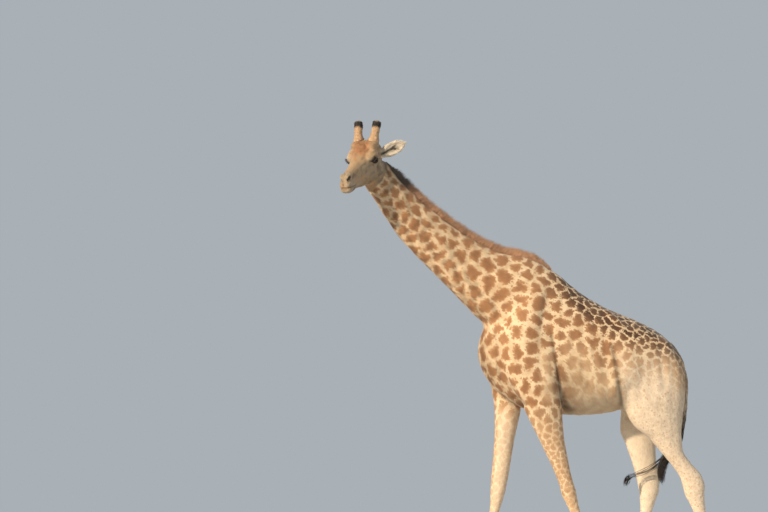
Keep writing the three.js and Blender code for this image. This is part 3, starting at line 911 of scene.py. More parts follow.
# ---- forms under the skin ----
# Ridges and hollows of bone, muscle and tendon: a line, how wide, and how high in metres.
FORMS = [
    ((0.02, 2.58), (-0.06, 2.25), 0.075, 0.011),  # shoulder blade
    ((0.12, 2.60), (0.06, 2.35), 0.030, -0.006),
    ((0.09, 2.15), (0.13, 1.92), 0.055, 0.012),  # upper arm and elbow
    ((-0.28, 2.25), (-0.16, 2.05), 0.050, 0.008),  # point of the shoulder
    ((0.66, 2.46), (0.74, 2.36), 0.045, 0.013),  # hip bone
    ((0.76, 2.15), (0.83, 1.85), 0.070, 0.014),  # thigh muscle
    ((1.04, 2.20), (1.08, 1.88), 0.030, -0.006),
    ((1.26, 2.15), (1.28, 1.98), 0.050, 0.009),  # seat bone
    ((0.56, 2.22), (0.60, 1.95), 0.055, -0.014),  # hollow flank
]
NECK_FORMS = [
    ([-0.25, y, 2.55], [-1.00, y * 0.9, 3.08], 0.024, -0.007) for y in (-0.06, 0.15)  # jugular groove
] + [
    ([-0.20, y, 2.75], [-1.00, y * 0.7, 3.25], 0.040, 0.006) for y in (-0.10, 0.19)
]
CREASE_DEPTH = 0.012
RIBS = 7
RIB_STEP = 0.055
RIB_HEIGHT = 0.0022
FIRST_RIB_X = 0.26
RIB_SIDES = (-0.30, 0.39)  # y of the two flanks


def shape_body(points, normals, part):
    """Raises muscles and bones and sinks the folds between them."""
    height = np.zeros(len(points))
    for *line, rise in FORMS:
        height += rise * side_streak(points, *line)
    height -= CREASE_DEPTH * crease_field(points)
    height *= flank_share(points, part)
    for *line, rise in NECK_FORMS:
        height += rise * streak(points, *line)
    for i in range(RIBS):
        x = FIRST_RIB_X + i * RIB_STEP
        for y in RIB_SIDES:
            height += RIB_HEIGHT * streak(points, [x - 0.05, y, 2.50], [x + 0.05, y * 0.95, 2.02], 0.020)
    height += 0.0016 * waves(points, 0.11, 3) * ramp(points[:, 2], 1.2, 1.6)
    return points + normals * height[:, None]


def leg_details(points, normals, part):
    """Tendons and joints that show under the thin skin of the legs."""
    height = np.zeros(len(points))
    for leg in LOWER_LEGS:
        _, middle_y, middle_z = centre(leg)
        beside = np.abs(points[:, 1] - middle_y)
        height -= 0.003 * part[leg] * ridge(points[:, 2], middle_z, 0.28) * ridge(beside, 0.03, 0.02)
    height += 0.0012 * waves(points, 0.05, 9) * part["lower"]
    return points + normals * height[:, None]


# ---- materials ----
class Shader:
    """A node material with one principled shader."""

    def __init__(self, name, roughness, **sockets):
        self.material = bpy.data.materials.new(name)
        self.material.use_nodes = True
        self.tree = self.material.node_tree
        self.shader = self.tree.nodes["Principled BSDF"]
        self.set(self.shader, "Roughness", roughness)
        for key, value in sockets.items():
            self.set(self.shader, key.replace("_", " "), value)

    def set(self, node, socket, value):
        if isinstance(value, bpy.types.NodeSocket):
            self.tree.links.new(value, node.inputs[socket])
        elif isinstance(value, tuple) and len(value) == 3 and node.inputs[socket].type == "RGBA":
            node.inputs[socket].default_value = (*value, 1)
        else:
            node.inputs[socket].default_value = value

    def node(self, kind, sockets=None, **settings):
        node = self.tree.nodes.new("ShaderNode" + kind)
        for key, value in settings.items():
            setattr(node, key, value)
        for socket, value in (sockets or {}).items():
            self.set(node, socket, value)
        return node

    def mask(self, name):
        return self.node("Attribute", attribute_name=name).outputs["Fac"]

    def place(self):
        return self.node("Attribute", attribute_name="place").outputs["Vector"]

    def maths(self, operation, a, b=0.0, c=0.0):
        return self.node("Math", {0: a, 1: b, 2: c}, operation=operation).outputs[0]

    def times(self, a, b):
        return self.maths("MULTIPLY", a, b)

    def plus(self, a, b):
        return self.maths("ADD", a, b)

    def ramp(self, value, low, high, to_low=0.0, to_high=1.0):
        sockets = {"Value": value, "From Min": low, "From Max": high, "To Min": to_low, "To Max": to_high}
        return self.node("MapRange", sockets, interpolation_type="SMOOTHSTEP").outputs[0]

    def mix(self, share, a, b):
        sockets = {0: share, 6: a, 7: b}
        return self.node("Mix", sockets, data_type="RGBA", clamp_factor=True).outputs[2]

    def noise(self, place, scale, detail=3.0, stretch=None):
        if stretch:
            place = self.node("Mapping", {"Vector": place, "Scale": stretch}).outputs[0]
        sockets = {"Vector": place, "Scale": scale, "Detail": detail}
        return self.node("TexNoise", sockets).outputs["Fac"]

    def cells(self, place, scale):
        sockets = {"Vector": place, "Scale": scale}
        return self.node("TexVoronoi", sockets, feature="DISTANCE_TO_EDGE").outputs["Distance"]

    def finish(self, colour, height=None, strength=0.3, distance=0.002):
        self.set(self.shader, "Base Color", colour)
        if height is not None:
            bump = self.node("Bump", {"Height": height, "Strength": strength, "Distance": distance})
            self.set(self.shader, "Normal", bump.outputs[0])
        return self.material


LINE_THINNING = 0.024  # share of the spacing by which the cream lines are thinner than the masks give
CREAM = (0.86, 0.65, 0.41)
CREAM_SHADE = (0.70, 0.49, 0.29)
PATCH = (0.300, 0.135, 0.058)
PATCH_DARK = (0.070, 0.030, 0.015)
PATCH_PALE = (0.50, 0.265, 0.125)
PATCH_FADED = (0.60, 0.31, 0.14)
WHITE = (0.88, 0.77, 0.61)
FACE = (0.42, 0.28, 0.155)
ORANGE = (0.42, 0.185, 0.078)
GREY = (0.34, 0.27, 0.18)
# black skin, and the painted shade that the dark mask also carries
DARK_SKIN_AND_SHADE = (0.030, 0.023, 0.018)
RUST = (0.27, 0.115, 0.038)
FLECK = (0.56, 0.32, 0.17)
HAIR_SHADE = (0.12, 0.07, 0.04)  # between the hairs
BLACK_ROOT = (0.012, 0.010, 0.009)


def patch_level(s, place, broad, small):
    """Above 0 inside a patch. The line round it is wider where the noise is high, and notches it."""
    size = s.maths("DIVIDE", s.mask("edge"), s.mask("spacing"))
    wobble = s.maths("MULTIPLY_ADD", broad, 0.10, s.times(small, 0.12))
    notch = s.ramp(s.cells(place, 30.0), 0.0, 0.20, 0.13, 0.0)
    notch = s.times(notch, s.ramp(size, 0.12, 0.45, 1.0, 0.2))
    thin = s.times(s.mask("deep"), 0.05)
    level = s.maths("SUBTRACT", s.plus(size, thin), s.plus(wobble, notch))
    return s.plus(level, LINE_THINNING)


def patch_colour(s, level, small, fine):
    """Tan, paler toward the rim and where it fades, and darker along the back."""
    tone = s.mask("tone")
    blotch = s.times(s.ramp(level, 0.0, 0.30), s.ramp(fine, 0.25, 0.75, 0.55, 1.0))
    patch = s.mix(blotch, PATCH_PALE, PATCH)
    patch = s.mix(s.times(tone, 0.3), patch, PATCH_PALE)
    deep = s.times(s.mask("deep"), s.maths("MULTIPLY_ADD", tone, 0.30, 0.70))
    patch = s.mix(deep, patch, PATCH_DARK)
    patch = s.mix(s.ramp(small, 0.55, 0.75, 0.0, 0.35), patch, PATCH_PALE)
    return s.mix(s.ramp(s.mask("fade"), 0.1, 0.7, 0.0, 0.8), patch, PATCH_FADED)


def ground_colour(s, broad):
    """Cream, with the face's own tan and the white places."""
    cream = s.mix(s.ramp(broad, 0.35, 0.7), CREAM, CREAM_SHADE)
    cream = s.mix(s.times(s.mask("face"), 0.95), cream, FACE)
    return s.mix(s.times(s.mask("white"), 0.85), cream, WHITE)


def coat_material(name):
    """The ground with the patches that the masks place, then flecks, the face's own colours and painted
    shade.
    """
    s = Shader(name, 0.78, Sheen_Weight=0.12, Sheen_Roughness=0.5, Specular_IOR_Level=0.25)
    place = s.place()
    broad = s.noise(place, 13.0, 2.0)
    small = s.noise(place, 46.0)
    fine = s.noise(place, 170.0)
    hair = s.noise(place, 420.0, stretch=(0.35, 1.0, 0.6))
    level = patch_level(s, place, broad, small)
    shown = s.times(s.ramp(level, -0.035, 0.045), s.maths("SUBTRACT", 1.0, s.mask("fade")))
    colour = s.mix(shown, ground_colour(s, broad), patch_colour(s, level, small, fine))
    fleck = s.times(s.ramp(s.cells(place, 44.0), 0.14, 0.30), s.ramp(small, 0.40, 0.60))
    for mask, grain, over in (
        ("fleck", s.times(fleck, 0.75), FLECK),
        ("grey", s.ramp(small, 0.35, 0.65, 0.55, 1.0), GREY),
        ("warm", s.ramp(fine, 0.3, 0.7, 0.7, 1.0), ORANGE),
        ("rust", s.ramp(fine, 0.4, 0.6, 0.3, 0.9), RUST),
        ("dark", s.ramp(fine, 0.25, 0.6, 0.8, 1.0), DARK_SKIN_AND_SHADE),
    ):
        colour = s.mix(s.times(s.mask(mask), grain), colour, over)
    colour = s.mix(s.ramp(hair, 0.3, 0.7, 0.0, 0.20), colour, s.mix(0.5, colour, HAIR_SHADE))
    return s.finish(colour, s.plus(hair, fine), strength=0.35, distance=0.0016)


def hair_material(name, root, tip, roughness=0.62):
    """Locks that go from one colour at the root to another at the tip."""
    s = Shader(name, roughness, Specular_IOR_Level=0.35, Sheen_Weight=0.1)
    vary = s.noise(s.place(), 260.0)
    share = s.plus(s.mask("along"), s.ramp(vary, 0.3, 0.7, -0.3, 0.3))
    return s.finish(s.mix(s.ramp(share, 0.1, 0.95), root, tip), vary)


def mane_material(name):
    """Rust hair with paler tips, and nearly black where the mask of the nape is."""
    s = Shader(name, 0.7, Specular_IOR_Level=0.3, Sheen_Weight=0.15)
    place = s.place()
    vary = s.noise(place, 120.0)
    broad = s.noise(place, 9.0, 2.0)
    share = s.plus(s.mask("along"), s.ramp(vary, 0.3, 0.7, -0.35, 0.35))
    colour = s.mix(s.ramp(share, 0.0, 0.9), (0.42, 0.175, 0.070), (0.80, 0.42, 0.21))
    colour = s.mix(s.ramp(broad, 0.5, 0.75, 0.0, 0.5), colour, (0.34, 0.15, 0.07))
    colour = s.mix(s.ramp(s.mask("nape"), 0.25, 0.75, 0.0, 0.9), colour, (0.055, 0.042, 0.032))
    return s.finish(colour, vary, strength=0.5)


def eye_material():
    """Wet and near black-brown, with a wide pupil that lies level."""
    s = Shader("eye", 0.08, Specular_IOR_Level=0.22)
    fibres = s.noise(s.place(), 900.0, 2.0)
    iris = s.mix(s.ramp(fibres, 0.35, 0.65), (0.030, 0.014, 0.007), (0.075, 0.036, 0.016))
    colour = s.mix(s.ramp(s.mask("pupil"), 0.9, 1.1), (0.002, 0.002, 0.002), iris)
    return s.finish(s.mix(s.ramp(s.mask("ring"), 0.80, 0.92), colour, (0.012, 0.009, 0.008)))


def ossicone_material():
    """Tan skin, then a black band, then a worn top."""
    s = Shader("ossicone", 0.75, Specular_IOR_Level=0.25, Sheen_Weight=0.1)
    place = s.place()
    patchy = s.noise(place, 60.0)
    fine = s.noise(place, 330.0)
    tan = s.mix(s.ramp(patchy, 0.35, 0.7), (0.50, 0.30, 0.16), (0.62, 0.42, 0.25))
    share = s.plus(s.mask("share"), s.ramp(fine, 0.2, 0.8, -0.06, 0.06))
    colour = s.mix(s.ramp(share, BLACK_FROM - 0.06, BLACK_FROM + 0.06), tan, (0.022, 0.018, 0.015))
    colour = s.mix(s.ramp(share, BALD_TOP - 0.03, BALD_TOP + 0.03), colour, (0.30, 0.25, 0.20))
    return s.finish(colour, fine, strength=0.4)


def hoof_material():
    """Dark horn in growth rings, dusty toward the ground."""
    s = Shader("hoof", 0.5, Specular_IOR_Level=0.4)
    place = s.place()
    rings = s.node("TexWave", {"Vector": place, "Scale": 60.0, "Distortion": 4.0, "Detail": 2.0},
                   wave_type="BANDS", bands_direction="Z").outputs["Fac"]
    grain = s.noise(place, 240.0, 4.0, stretch=(1.0, 1.0, 0.15))
    dust = s.ramp(s.plus(s.mask("share"), s.ramp(grain, 0.3, 0.7, -0.3, 0.3)), 0.0, 0.35)
    horn = s.mix(s.ramp(grain, 0.3, 0.7), (0.055, 0.040, 0.032), (0.115, 0.085, 0.064))
    horn = s.mix(s.ramp(rings, 0.4, 0.8, 0.0, 0.35), horn, (0.16, 0.12, 0.09))
    return s.finish(s.mix(dust, (0.27, 0.21, 0.15), horn), s.plus(rings, grain), strength=0.35)


# ---- tufts ----
UV_PATCH = 0.003  # size of a tuft's place on the skin's unwrap


def blade_points(spines, widths, thickness, sides):
    """Three corners round every ring of a spine but the last, then its end: (locks, corners, 3)."""
    along = units(np.gradient(spines, axis=1), TINY)
    side = np.broadcast_to(sides[:, None, :], spines.shape)
    side = units(side - along * (side * along).sum(axis=2)[:, :, None], TINY)
    up = np.cross(along, side)
    taper = np.atleast_2d(widths)[:, :, None]
    corners = np.stack([
        spines - side * taper,
        spines + up * taper * thickness,
        spines + side * taper,
    ], axis=2)[:, :-1]
    return np.concatenate([corners.reshape(len(spines), -1, 3), spines[:, -1:]], axis=1)


def blade_faces(rings):
    """The faces of one lock: its three sides, its pointed end and its closed root."""
    faces = []
    for ring in range(rings - 2):
        for c in range(3):
            a, b = ring * 3 + c, ring * 3 + (c + 1) % 3
            faces.append((a, a + 3, b + 3, b))
    last = (rings - 2) * 3
    tip = last + 3
    return faces + [(last + (c + 1) % 3, last + c, tip) for c in range(3)] + [(0, 1, 2)]


def tuft_mesh(name, spines, widths, thickness, sides, values, root_uv, facing=None):
    """Joined locks. spines is (locks, rings, 3), sides the broad way of each, values the masks of each.

    Every lock is a closed blade with three corners round it, that ends in a point. Its UV patch lies
    at its root's place on the skin's unwrap. Where facing is given, each lock is shaded as if it
    faced that way.
    """
    points = blade_points(spines, widths, thickness, sides)
    locks, per, _ = points.shape
    faces = blade_faces(spines.shape[1])
    sizes = np.tile([len(f) for f in faces], locks)
    starts = np.concatenate([[0], np.cumsum(sizes)[:-1]])
    corners = (np.concatenate(faces)[None, :] + per * np.arange(locks)[:, None]).ravel()
    mesh = bpy.data.meshes.new(name)
    mesh.vertices.add(locks * per)
    mesh.vertices.foreach_set("co", points.astype(np.float32).ravel())
    mesh.loops.add(len(corners))
    mesh.loops.foreach_set("vertex_index", corners.astype(np.int32))
    mesh.polygons.add(len(sizes))
    mesh.polygons.foreach_set("loop_start", starts.astype(np.int32))
    mesh.update(calc_edges=True)
    mesh.validate()

    last = spines.shape[1] - 1
    ring_share = np.append(np.repeat(np.arange(last), 3), last) / last
    put_mask(mesh, "along", np.tile(ring_share, locks))
    for key, value in values.items():
        put = put_mask if value.ndim == 1 else put_vectors
        put(mesh, key, np.repeat(value, per, axis=0))
    around = np.append(np.tile([0.0, 0.5, 1.0], last), 0.5)
    patch = np.stack([around, ring_share], axis=1) * UV_PATCH - UV_PATCH / 2
    uv = (root_uv[:, None, :] + patch[None]).reshape(-1, 2)[corners]
    layer = mesh.uv_layers.new(name="OFBake")
    layer.data.foreach_set("uv", np.clip(uv, 0, 1).astype(np.float32).ravel())
    shade_smooth(mesh)
    if facing is not None:
        mesh.normals_split_custom_set_from_vertices(np.repeat(facing, per, axis=0))
    return mesh


def add_piece(name, mesh, material, slot, *nodes):
    piece = new_object(name, mesh)
    mesh.materials.clear()
    mesh.materials.append(material)
    shade_smooth(mesh)
    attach(piece, "root")
    if nodes:
        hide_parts(*nodes)
    return piece


def lay_tufts(name, material, slot, roots, length, lift, curl, widths, sink=0.0, facing=None):
    """A piece of tufts that start sink below the skin, leave it at a low angle and bend back."""
    share = np.linspace(0, 1, widths.shape[-1])[None, :, None]
    rise = lift[:, None, None] * share - curl * share ** 2
    lie, normals = roots.lie[:, None, :], roots.normals[:, None, :]
    starts = (roots.places - roots.normals * sink)[:, None, :]
    spines = starts + length[:, None, None] * (lie * share + normals * rise)
    sides = np.cross(roots.normals, roots.lie)
    mesh = tuft_mesh(name, spines, widths, 0.5, sides, roots.values, roots.uv, facing)
    add_piece(name, mesh, material, slot)


# ---- the skin as a piece ----
class Skin:
    """The finished surface of the flesh, with all that its coat needs to know of it."""

    def __init__(self):
        self.mesh = skin_mesh()
        table = neighbour_table(self.mesh)
        points, normals = points_of(self.mesh), normals_of(self.mesh)
        labels = nearest_nodes(points)
        self.part = regions(labels, table)
        depth = COAT_DEPTH - FACE_THINNER * self.part["face"] - EAR_THINNER * self.part["ears"]
        points = points - normals * (depth + SWELL)[:, None]
        points = shape_head(points)
        points = fill_ears(points, normals, self.part)
        points = shape_lids(points)
        points = shape_muzzle(points, normals)
        points = shape_body(points, normals, self.part)
        points = leg_details(points, normals, self.part)
        put_points(self.mesh, points)
        self.points, self.normals = points, normals_of(self.mesh)
        self.lie = lie_of_coat(points, self.normals, self.part)
        self.masks = markings(Ground(points, self.normals, table, labels, self.part))
        for name, values in self.masks.items():
            put_mask(self.mesh, name, values)
        put_vectors(self.mesh, "place", points)
        self.unwrap(add_piece("skin", self.mesh, COAT, "coat", *FLESH, *EARS))
        self.read_faces()

    def unwrap(self, piece):
        self.mesh.uv_layers.new(name="OFBake")
        bpy.context.view_layer.objects.active = piece
        piece.select_set(True)
        bpy.ops.object.mode_set(mode="EDIT")
        bpy.ops.mesh.select_all(action="SELECT")
        bpy.ops.uv.smart_project(angle_limit=1.15, island_margin=0.002, scale_to_bounds=True)
        bpy.ops.object.mode_set(mode="OBJECT")
        piece.select_set(False)

    def read_faces(self):
        """The corners of each face as one padded table, with its area and its place in the unwrap."""
        polygons = self.mesh.polygons
        start = read_rows(polygons, "loop_start", 1, np.int32)
        size = read_rows(polygons, "loop_total", 1, np.int32)
        picks = start + np.minimum(np.arange(4)[None, :], size - 1)
        self.area = read_rows(polygons, "area", 1).ravel().astype(float)
        self.corners = read_rows(self.mesh.loops, "vertex_index", 1, np.int32).ravel()[picks]
        self.corner_uv = read_rows(self.mesh.uv_layers["OFBake"].data, "uv", 2)[picks]
        self.tree = point_tree(self.points[self.corners].mean(axis=1))

    def uv_near(self, places):
        """Where the skin's nearest faces lie in its unwrap."""
        faces = [self.tree.find(p)[1] for p in places]
        return self.corner_uv[faces].mean(axis=1)

    def scatter(self, density, count, rng):
        """Roots spread over the skin where density is high, and what their tufts take from it."""
        weight = self.area * density[self.corners].mean(axis=1)
        picked = np.sort(rng.choice(len(weight), size=count, p=weight / weight.sum()))
        share = rng.dirichlet([1, 1, 1, 1], count)
        corners = self.corners[picked]

        def read(values):
            """The skin's values at the roots."""
            return (values[corners] * (share if values.ndim == 1 else share[:, :, None])).sum(axis=1)

        normals = units(read(self.normals))
        lie = units(along_surface(read(self.lie), normals), TINY)
        values = {name: read(mask) for name, mask in self.masks.items()}
        places = values["place"] = read(self.points)
        uv = (self.corner_uv[picked] * share[:, :, None]).sum(axis=1)
        return SimpleNamespace(places=places, normals=normals, lie=lie, values=values, uv=uv, read=read)


# ---- the coat: short tufts over the skin ----
FACE_TUFTS = 40000
BODY_TUFTS = 40000  # in each of the three pieces of the body's coat
NECK_END_X = -0.30  # where the coat's pieces meet
SHOULDERS_END_X = 0.45


def coat_density(skin):
    """How thick the tufts stand, how long and how rough they are, and where they are small."""
    points, part = skin.points, skin.part
    place = to_head(points)
    belly = ramp(-skin.normals[:, 2], 0.2, 0.8) * part["trunk"] * ramp(points[:, 0], -0.3, 0.0)
    chest = blob(points, [-0.36, BODY_MIDDLE_Y, 1.9], [0.12, 0.2, 0.35])
    elbow = sum(blob(points, [0.30, y, 1.95], [0.12, 0.12, 0.2]) for y in (-0.24, 0.33))
    thigh_rear = blob(points, [1.35, BODY_MIDDLE_Y, 1.8], [0.16, 0.4, 0.3])
    fetlock = part["lower"] * blob(points * [0, 0, 1], [0, 0, 0.13], [1, 1, 0.09])
    chin = part["face"] * ramp(-place[:, 2], 0.10, 0.14)
    nape = streak(points, from_head([-0.16, 0, 0.03]), from_head([-0.36, 0, 0.0]), 0.06)
    crown = part["face"] * blob(place, [-0.06, 0, 0.13], [0.08, 0.09, 0.06])
    rough = belly + 0.8 * chest + elbow + 0.6 * thigh_rear + fetlock + 0.6 * chin + nape + 0.6 * crown
    rough = np.clip(rough, 0, 1)
    bare = sum(1 - ramp(nostril_field(place, side), 1.2, 1.8) for side in SIDES)
    for side in SIDES:
        bare += near_eye(points, side, 0.012) * (1 - ramp(eye_opening(points, side), 0.3, 0.6))
    lips = part["face"] * ramp(place[:, 0], 0.30, 0.34)
    density = (0.35 + rough + 0.4 * part["face"] + 0.9 * part["ears"]) * (1 - np.clip(bare, 0, 1))
    density *= 1 - 0.85 * lips
    small = np.clip(part["face"] + part["ears"], 0, 1)
    length = 0.022 + 0.010 * rough - 0.011 * small - 0.008 * part["lower"] * (1 - fetlock)
    return density, length, rough, small


def make_coat(skin):
    """Short flat tufts over the whole skin, in four pieces."""
    density, length, rough, small = coat_density(skin)
    rng = np.random.default_rng(SEED + 1)
    x = skin.points[:, 0]
    for name, count, where in (
        ("coat_face", FACE_TUFTS, small),
        ("coat_neck", BODY_TUFTS, (1 - small) * (x < NECK_END_X)),
        ("coat_shoulders", BODY_TUFTS, (1 - small) * (x >= NECK_END_X) * (x < SHOULDERS_END_X)),
        ("coat_rear", BODY_TUFTS, (1 - small) * (x >= SHOULDERS_END_X)),
    ):
        roots = skin.scatter(density * where, count, rng)
        turn = rng.normal(0, 0.16, count)[:, None]
        roots.lie = roots.lie * np.cos(turn) + np.cross(roots.normals, roots.lie) * np.sin(turn)
        long = roots.read(length) * rng.uniform(0.75, 1.25, count)
        lift = 0.09 + 0.13 * roots.read(rough) + rng.uniform(-0.03, 0.05, count)
        widths = (long * 0.065)[:, None] * np.array([1.0, 0.1])
        facing = units(roots.normals + 0.12 * rng.normal(size=roots.normals.shape))
        lay_tufts(name, COAT, "coat", roots, long, lift, 0.0, widths, 0.0006, facing)


# ---- eyes ----
BALL_SINK = 0.0006  # the ball is this much smaller than the solid's
CORNEA = 0.0016  # height of the bulge in front
PUPIL = (0.42, 0.20)  # half its length and height, of the eye's radius
LASHES = 46  # in each of two rows on an upper lid
LASH_LENGTH = (0.020, 0.030)


def make_eyes():
    material = eye_material()
    for side, name in SIDES.items():
        looks, length, height = eye_axes(side)
        ball = bmesh.new()
        bmesh.ops.create_uvsphere(ball, u_segments=48, v_segments=32, radius=EYE_RADIUS)
        mesh = to_mesh(ball, f"eye_{name}_ball")
        way = points_of(mesh) / EYE_RADIUS
        across, up, front = way @ length, way @ height, way @ looks
        flat = np.hypot(across, up)
        cornea = CORNEA * ramp(-flat, -0.62, -0.2) * (front > 0)
        put_points(mesh, EYES[side] + way * (EYE_RADIUS + cornea - BALL_SINK)[:, None])
        put_mask(mesh, "ring", np.where(front > 0, flat, 1.5))
        put_mask(mesh, "pupil", np.where(front > 0, np.hypot(across / PUPIL[0], up / PUPIL[1]), 2.0))
        put_vectors(mesh, "place", way * EYE_RADIUS)
        add_piece(f"eye_{name}_ball", mesh, material, "eye", "eye_" + name)


def make_lashes(skin):
    """Long dark lashes along the upper lids."""
    rng = np.random.default_rng(SEED + 2)
    t = np.linspace(0, 1, 4)[:, None]
    spines, sides = [], []
    for side in SIDES:
        looks, length, height = eye_axes(side)
        droop = -height * 0.35 * np.sin(t * 2.4)
        for share in np.linspace(-0.86, 0.80, LASHES):
            for row in range(2):
                up = APERTURE["up"] * (1 - (share / APERTURE["half_length"]) ** 2) + 0.03 * row
                across = share + rng.normal(0, 0.012)
                front = math.sqrt(max(0.05, 1 - across ** 2 - up ** 2))
                way = unit(length * across + height * up + looks * front)
                root = EYES[side] + way * (EYE_RADIUS + 0.0012)
                stray = rng.normal(0, 0.06, 3)
                out = unit(way + 0.5 * looks - 0.25 * height + length * across * 0.5 + stray)
                reach = rng.uniform(*LASH_LENGTH)
                spines.append(root + reach * (out * t + droop * 0.6 + height * 0.22 * t ** 2))
                sides.append(length)
    spines = np.array(spines)
    roots = spines[:, 0]
    widths = np.array([0.0009, 0.0008, 0.0005, 0.0001])
    mesh = tuft_mesh("lashes", spines, widths, 0.6, np.array(sides), {"place": roots}, skin.uv_near(roots))
    add_piece("lashes", mesh, hair_material("lash", BLACK_ROOT, (0.03, 0.022, 0.018)), "face")


# ---- ossicones ----
OSSICONE_WAY = {name: head_way([HORN_WAY[0], side * 0.08, HORN_WAY[2]]) for side, name in SIDES.items()}
FOOT_FLARE = 0.30  # share by which the foot of each horn is wider than the solid's
FOOT_SINK = 0.024  # how far the foot is drawn down under the skin
BALD_TOP = 0.91  # share of the length above which the tip is worn bare
BLACK_FROM = 0.69
# Hair of a horn: name, from and to which share of the length, count, length, lift, colours.
HORN_HAIR = [
    ("knob_hair", (BLACK_FROM - 0.04, BALD_TOP), 1500, 0.011, 0.25, (BLACK_ROOT, (0.05, 0.038, 0.03))),
    ("shaft_hair", (0.03, BLACK_FROM), 4500, 0.012, 0.12, ((0.42, 0.24, 0.12), (0.66, 0.46, 0.28))),
]
HORN_HAIR_WIDTHS = np.array([0.0009, 0.0007, 0.0001])


def horn_mesh(name, way):
    """One horn with a wide foot and slight rings, and each point's share of its length."""
    mesh = smooth_copy(name, 0.0032, 60)
    points = points_of(mesh)
    along = points @ way
    share = (along - along.min()) / (along.max() - along.min())
    points -= way * (FOOT_SINK * (1 - ramp(share, 0.0, 0.14)))[:, None]
    foot = points[share < 0.05].mean(axis=0)
    axis = foot + way * ((points - foot) @ way)[:, None]
    points += (points - axis) * (FOOT_FLARE * (1 - ramp(share, 0.0, 0.45)))[:, None]
    put_points(mesh, points)
    points += normals_of(mesh) * (0.0012 * waves(points, 0.03, 5))[:, None]
    put_points(mesh, points)
    put_mask(mesh, "share", share)
    put_vectors(mesh, "place", points)
    return mesh, points, share


def horn_hair(skin, rng, points, normals, way, name, material, where, count, length, lift):
    """One kind of a horn's hair, which lies toward the horn's tip."""
    picks = rng.choice(np.flatnonzero(where), count)
    places, normals = points[picks], normals[picks]
    lie = way - normals * (normals @ way)[:, None]
    lie = units(lie + rng.normal(0, 0.18, lie.shape))
    long = length * rng.uniform(0.7, 1.25, count)
    tall = lift * rng.uniform(0.7, 1.3, count)
    uv = skin.uv_near(places)
    roots = SimpleNamespace(places=places, normals=normals, lie=lie, values={"place": places}, uv=uv)
    lay_tufts(name, material, "ossicone", roots, long, tall, 0.12, HORN_HAIR_WIDTHS, 0.0008, normals)


def make_ossicones(skin):
    rng = np.random.default_rng(SEED + 3)
    horn = ossicone_material()
    hair = [hair_material(name, *colours) for name, *_, colours in HORN_HAIR]
    for side, way in OSSICONE_WAY.items():
        node = "ossicone_" + side
        mesh, points, share = horn_mesh(node, way)
        add_piece(node + "_horn", mesh, horn, "ossicone", node)
        normals = normals_of(mesh)
        for material, (name, (low, high), *sizes, _) in zip(hair, HORN_HAIR):
            where = (share > low) & (share < high)
            horn_hair(skin, rng, points, normals, way, f"{node}_{name}", material, where, *sizes)


# ---- ear hair ----
EAR_HAIRS = 3600


def make_ear_hair(skin):
    """Long pale hair along the rims of the ears and in their hollows."""
    rng = np.random.default_rng(SEED + 4)
    inside, dark = ear_hollow(skin.points, skin.normals, skin.part)
    rim = skin.part["ears"] * np.clip(1 - np.abs(inside - 0.5) * 2, 0, 1)
    density = (0.25 * inside + rim) * skin.part["ears"] * (1 - 0.8 * dark)
    roots = skin.scatter(density, EAR_HAIRS, rng)
    roots.lie = units(roots.lie + rng.normal(0, 0.14, roots.lie.shape))
    long = 0.026 * rng.uniform(0.6, 1.3, EAR_HAIRS)
    lift = rng.uniform(0.10, 0.32, EAR_HAIRS)
    widths = np.array([0.0011, 0.0010, 0.0006, 0.0001])
    lay_tufts("ear_hair", COAT, "ear", roots, long, lift, 0.12, widths, 0.0005, roots.normals)


# ---- mane ----
MANE_HAIRS = 14000
MANE_BOX = box_of("mane")
MANE_RISE = 0.10  # length of the part in front over which the mane grows to its full height
NAPE_REACH = 0.09  # how far the black of the upper mane fades
MANE_NEAR = 0.011  # the hair grows about this near to the solid mane


def depth_through(tree, root, way, most):
    """How far a ray from root runs before it leaves the solid for the last time."""
    root, way = Vector(root), Vector(way)
    reach, at = 0.0, root
    for _ in range(6):
        hit = tree.ray_cast(at, way, most)[0]
        if hit is None:
            break
        reach = (hit - root).length
        at = hit + way * 1e-4
    return reach


def mane_rise(places):
    return ramp(places[:, 0], MANE_BOX[0][0], MANE_BOX[0][0] + MANE_RISE)


def mane_density(skin, tree):
    """Thick on the skin close under the solid mane, and none elsewhere."""
    low, high = MANE_BOX
    points = skin.points
    inside = ((points > low - 0.03) & (points < high + 0.03)).all(axis=1) & (skin.normals[:, 2] > 0.2)
    density = np.zeros(len(points))
    for i in np.flatnonzero(inside):
        density[i] = math.exp(-(tree.find_nearest(Vector(points[i]))[3] / MANE_NEAR) ** 2)
    return density


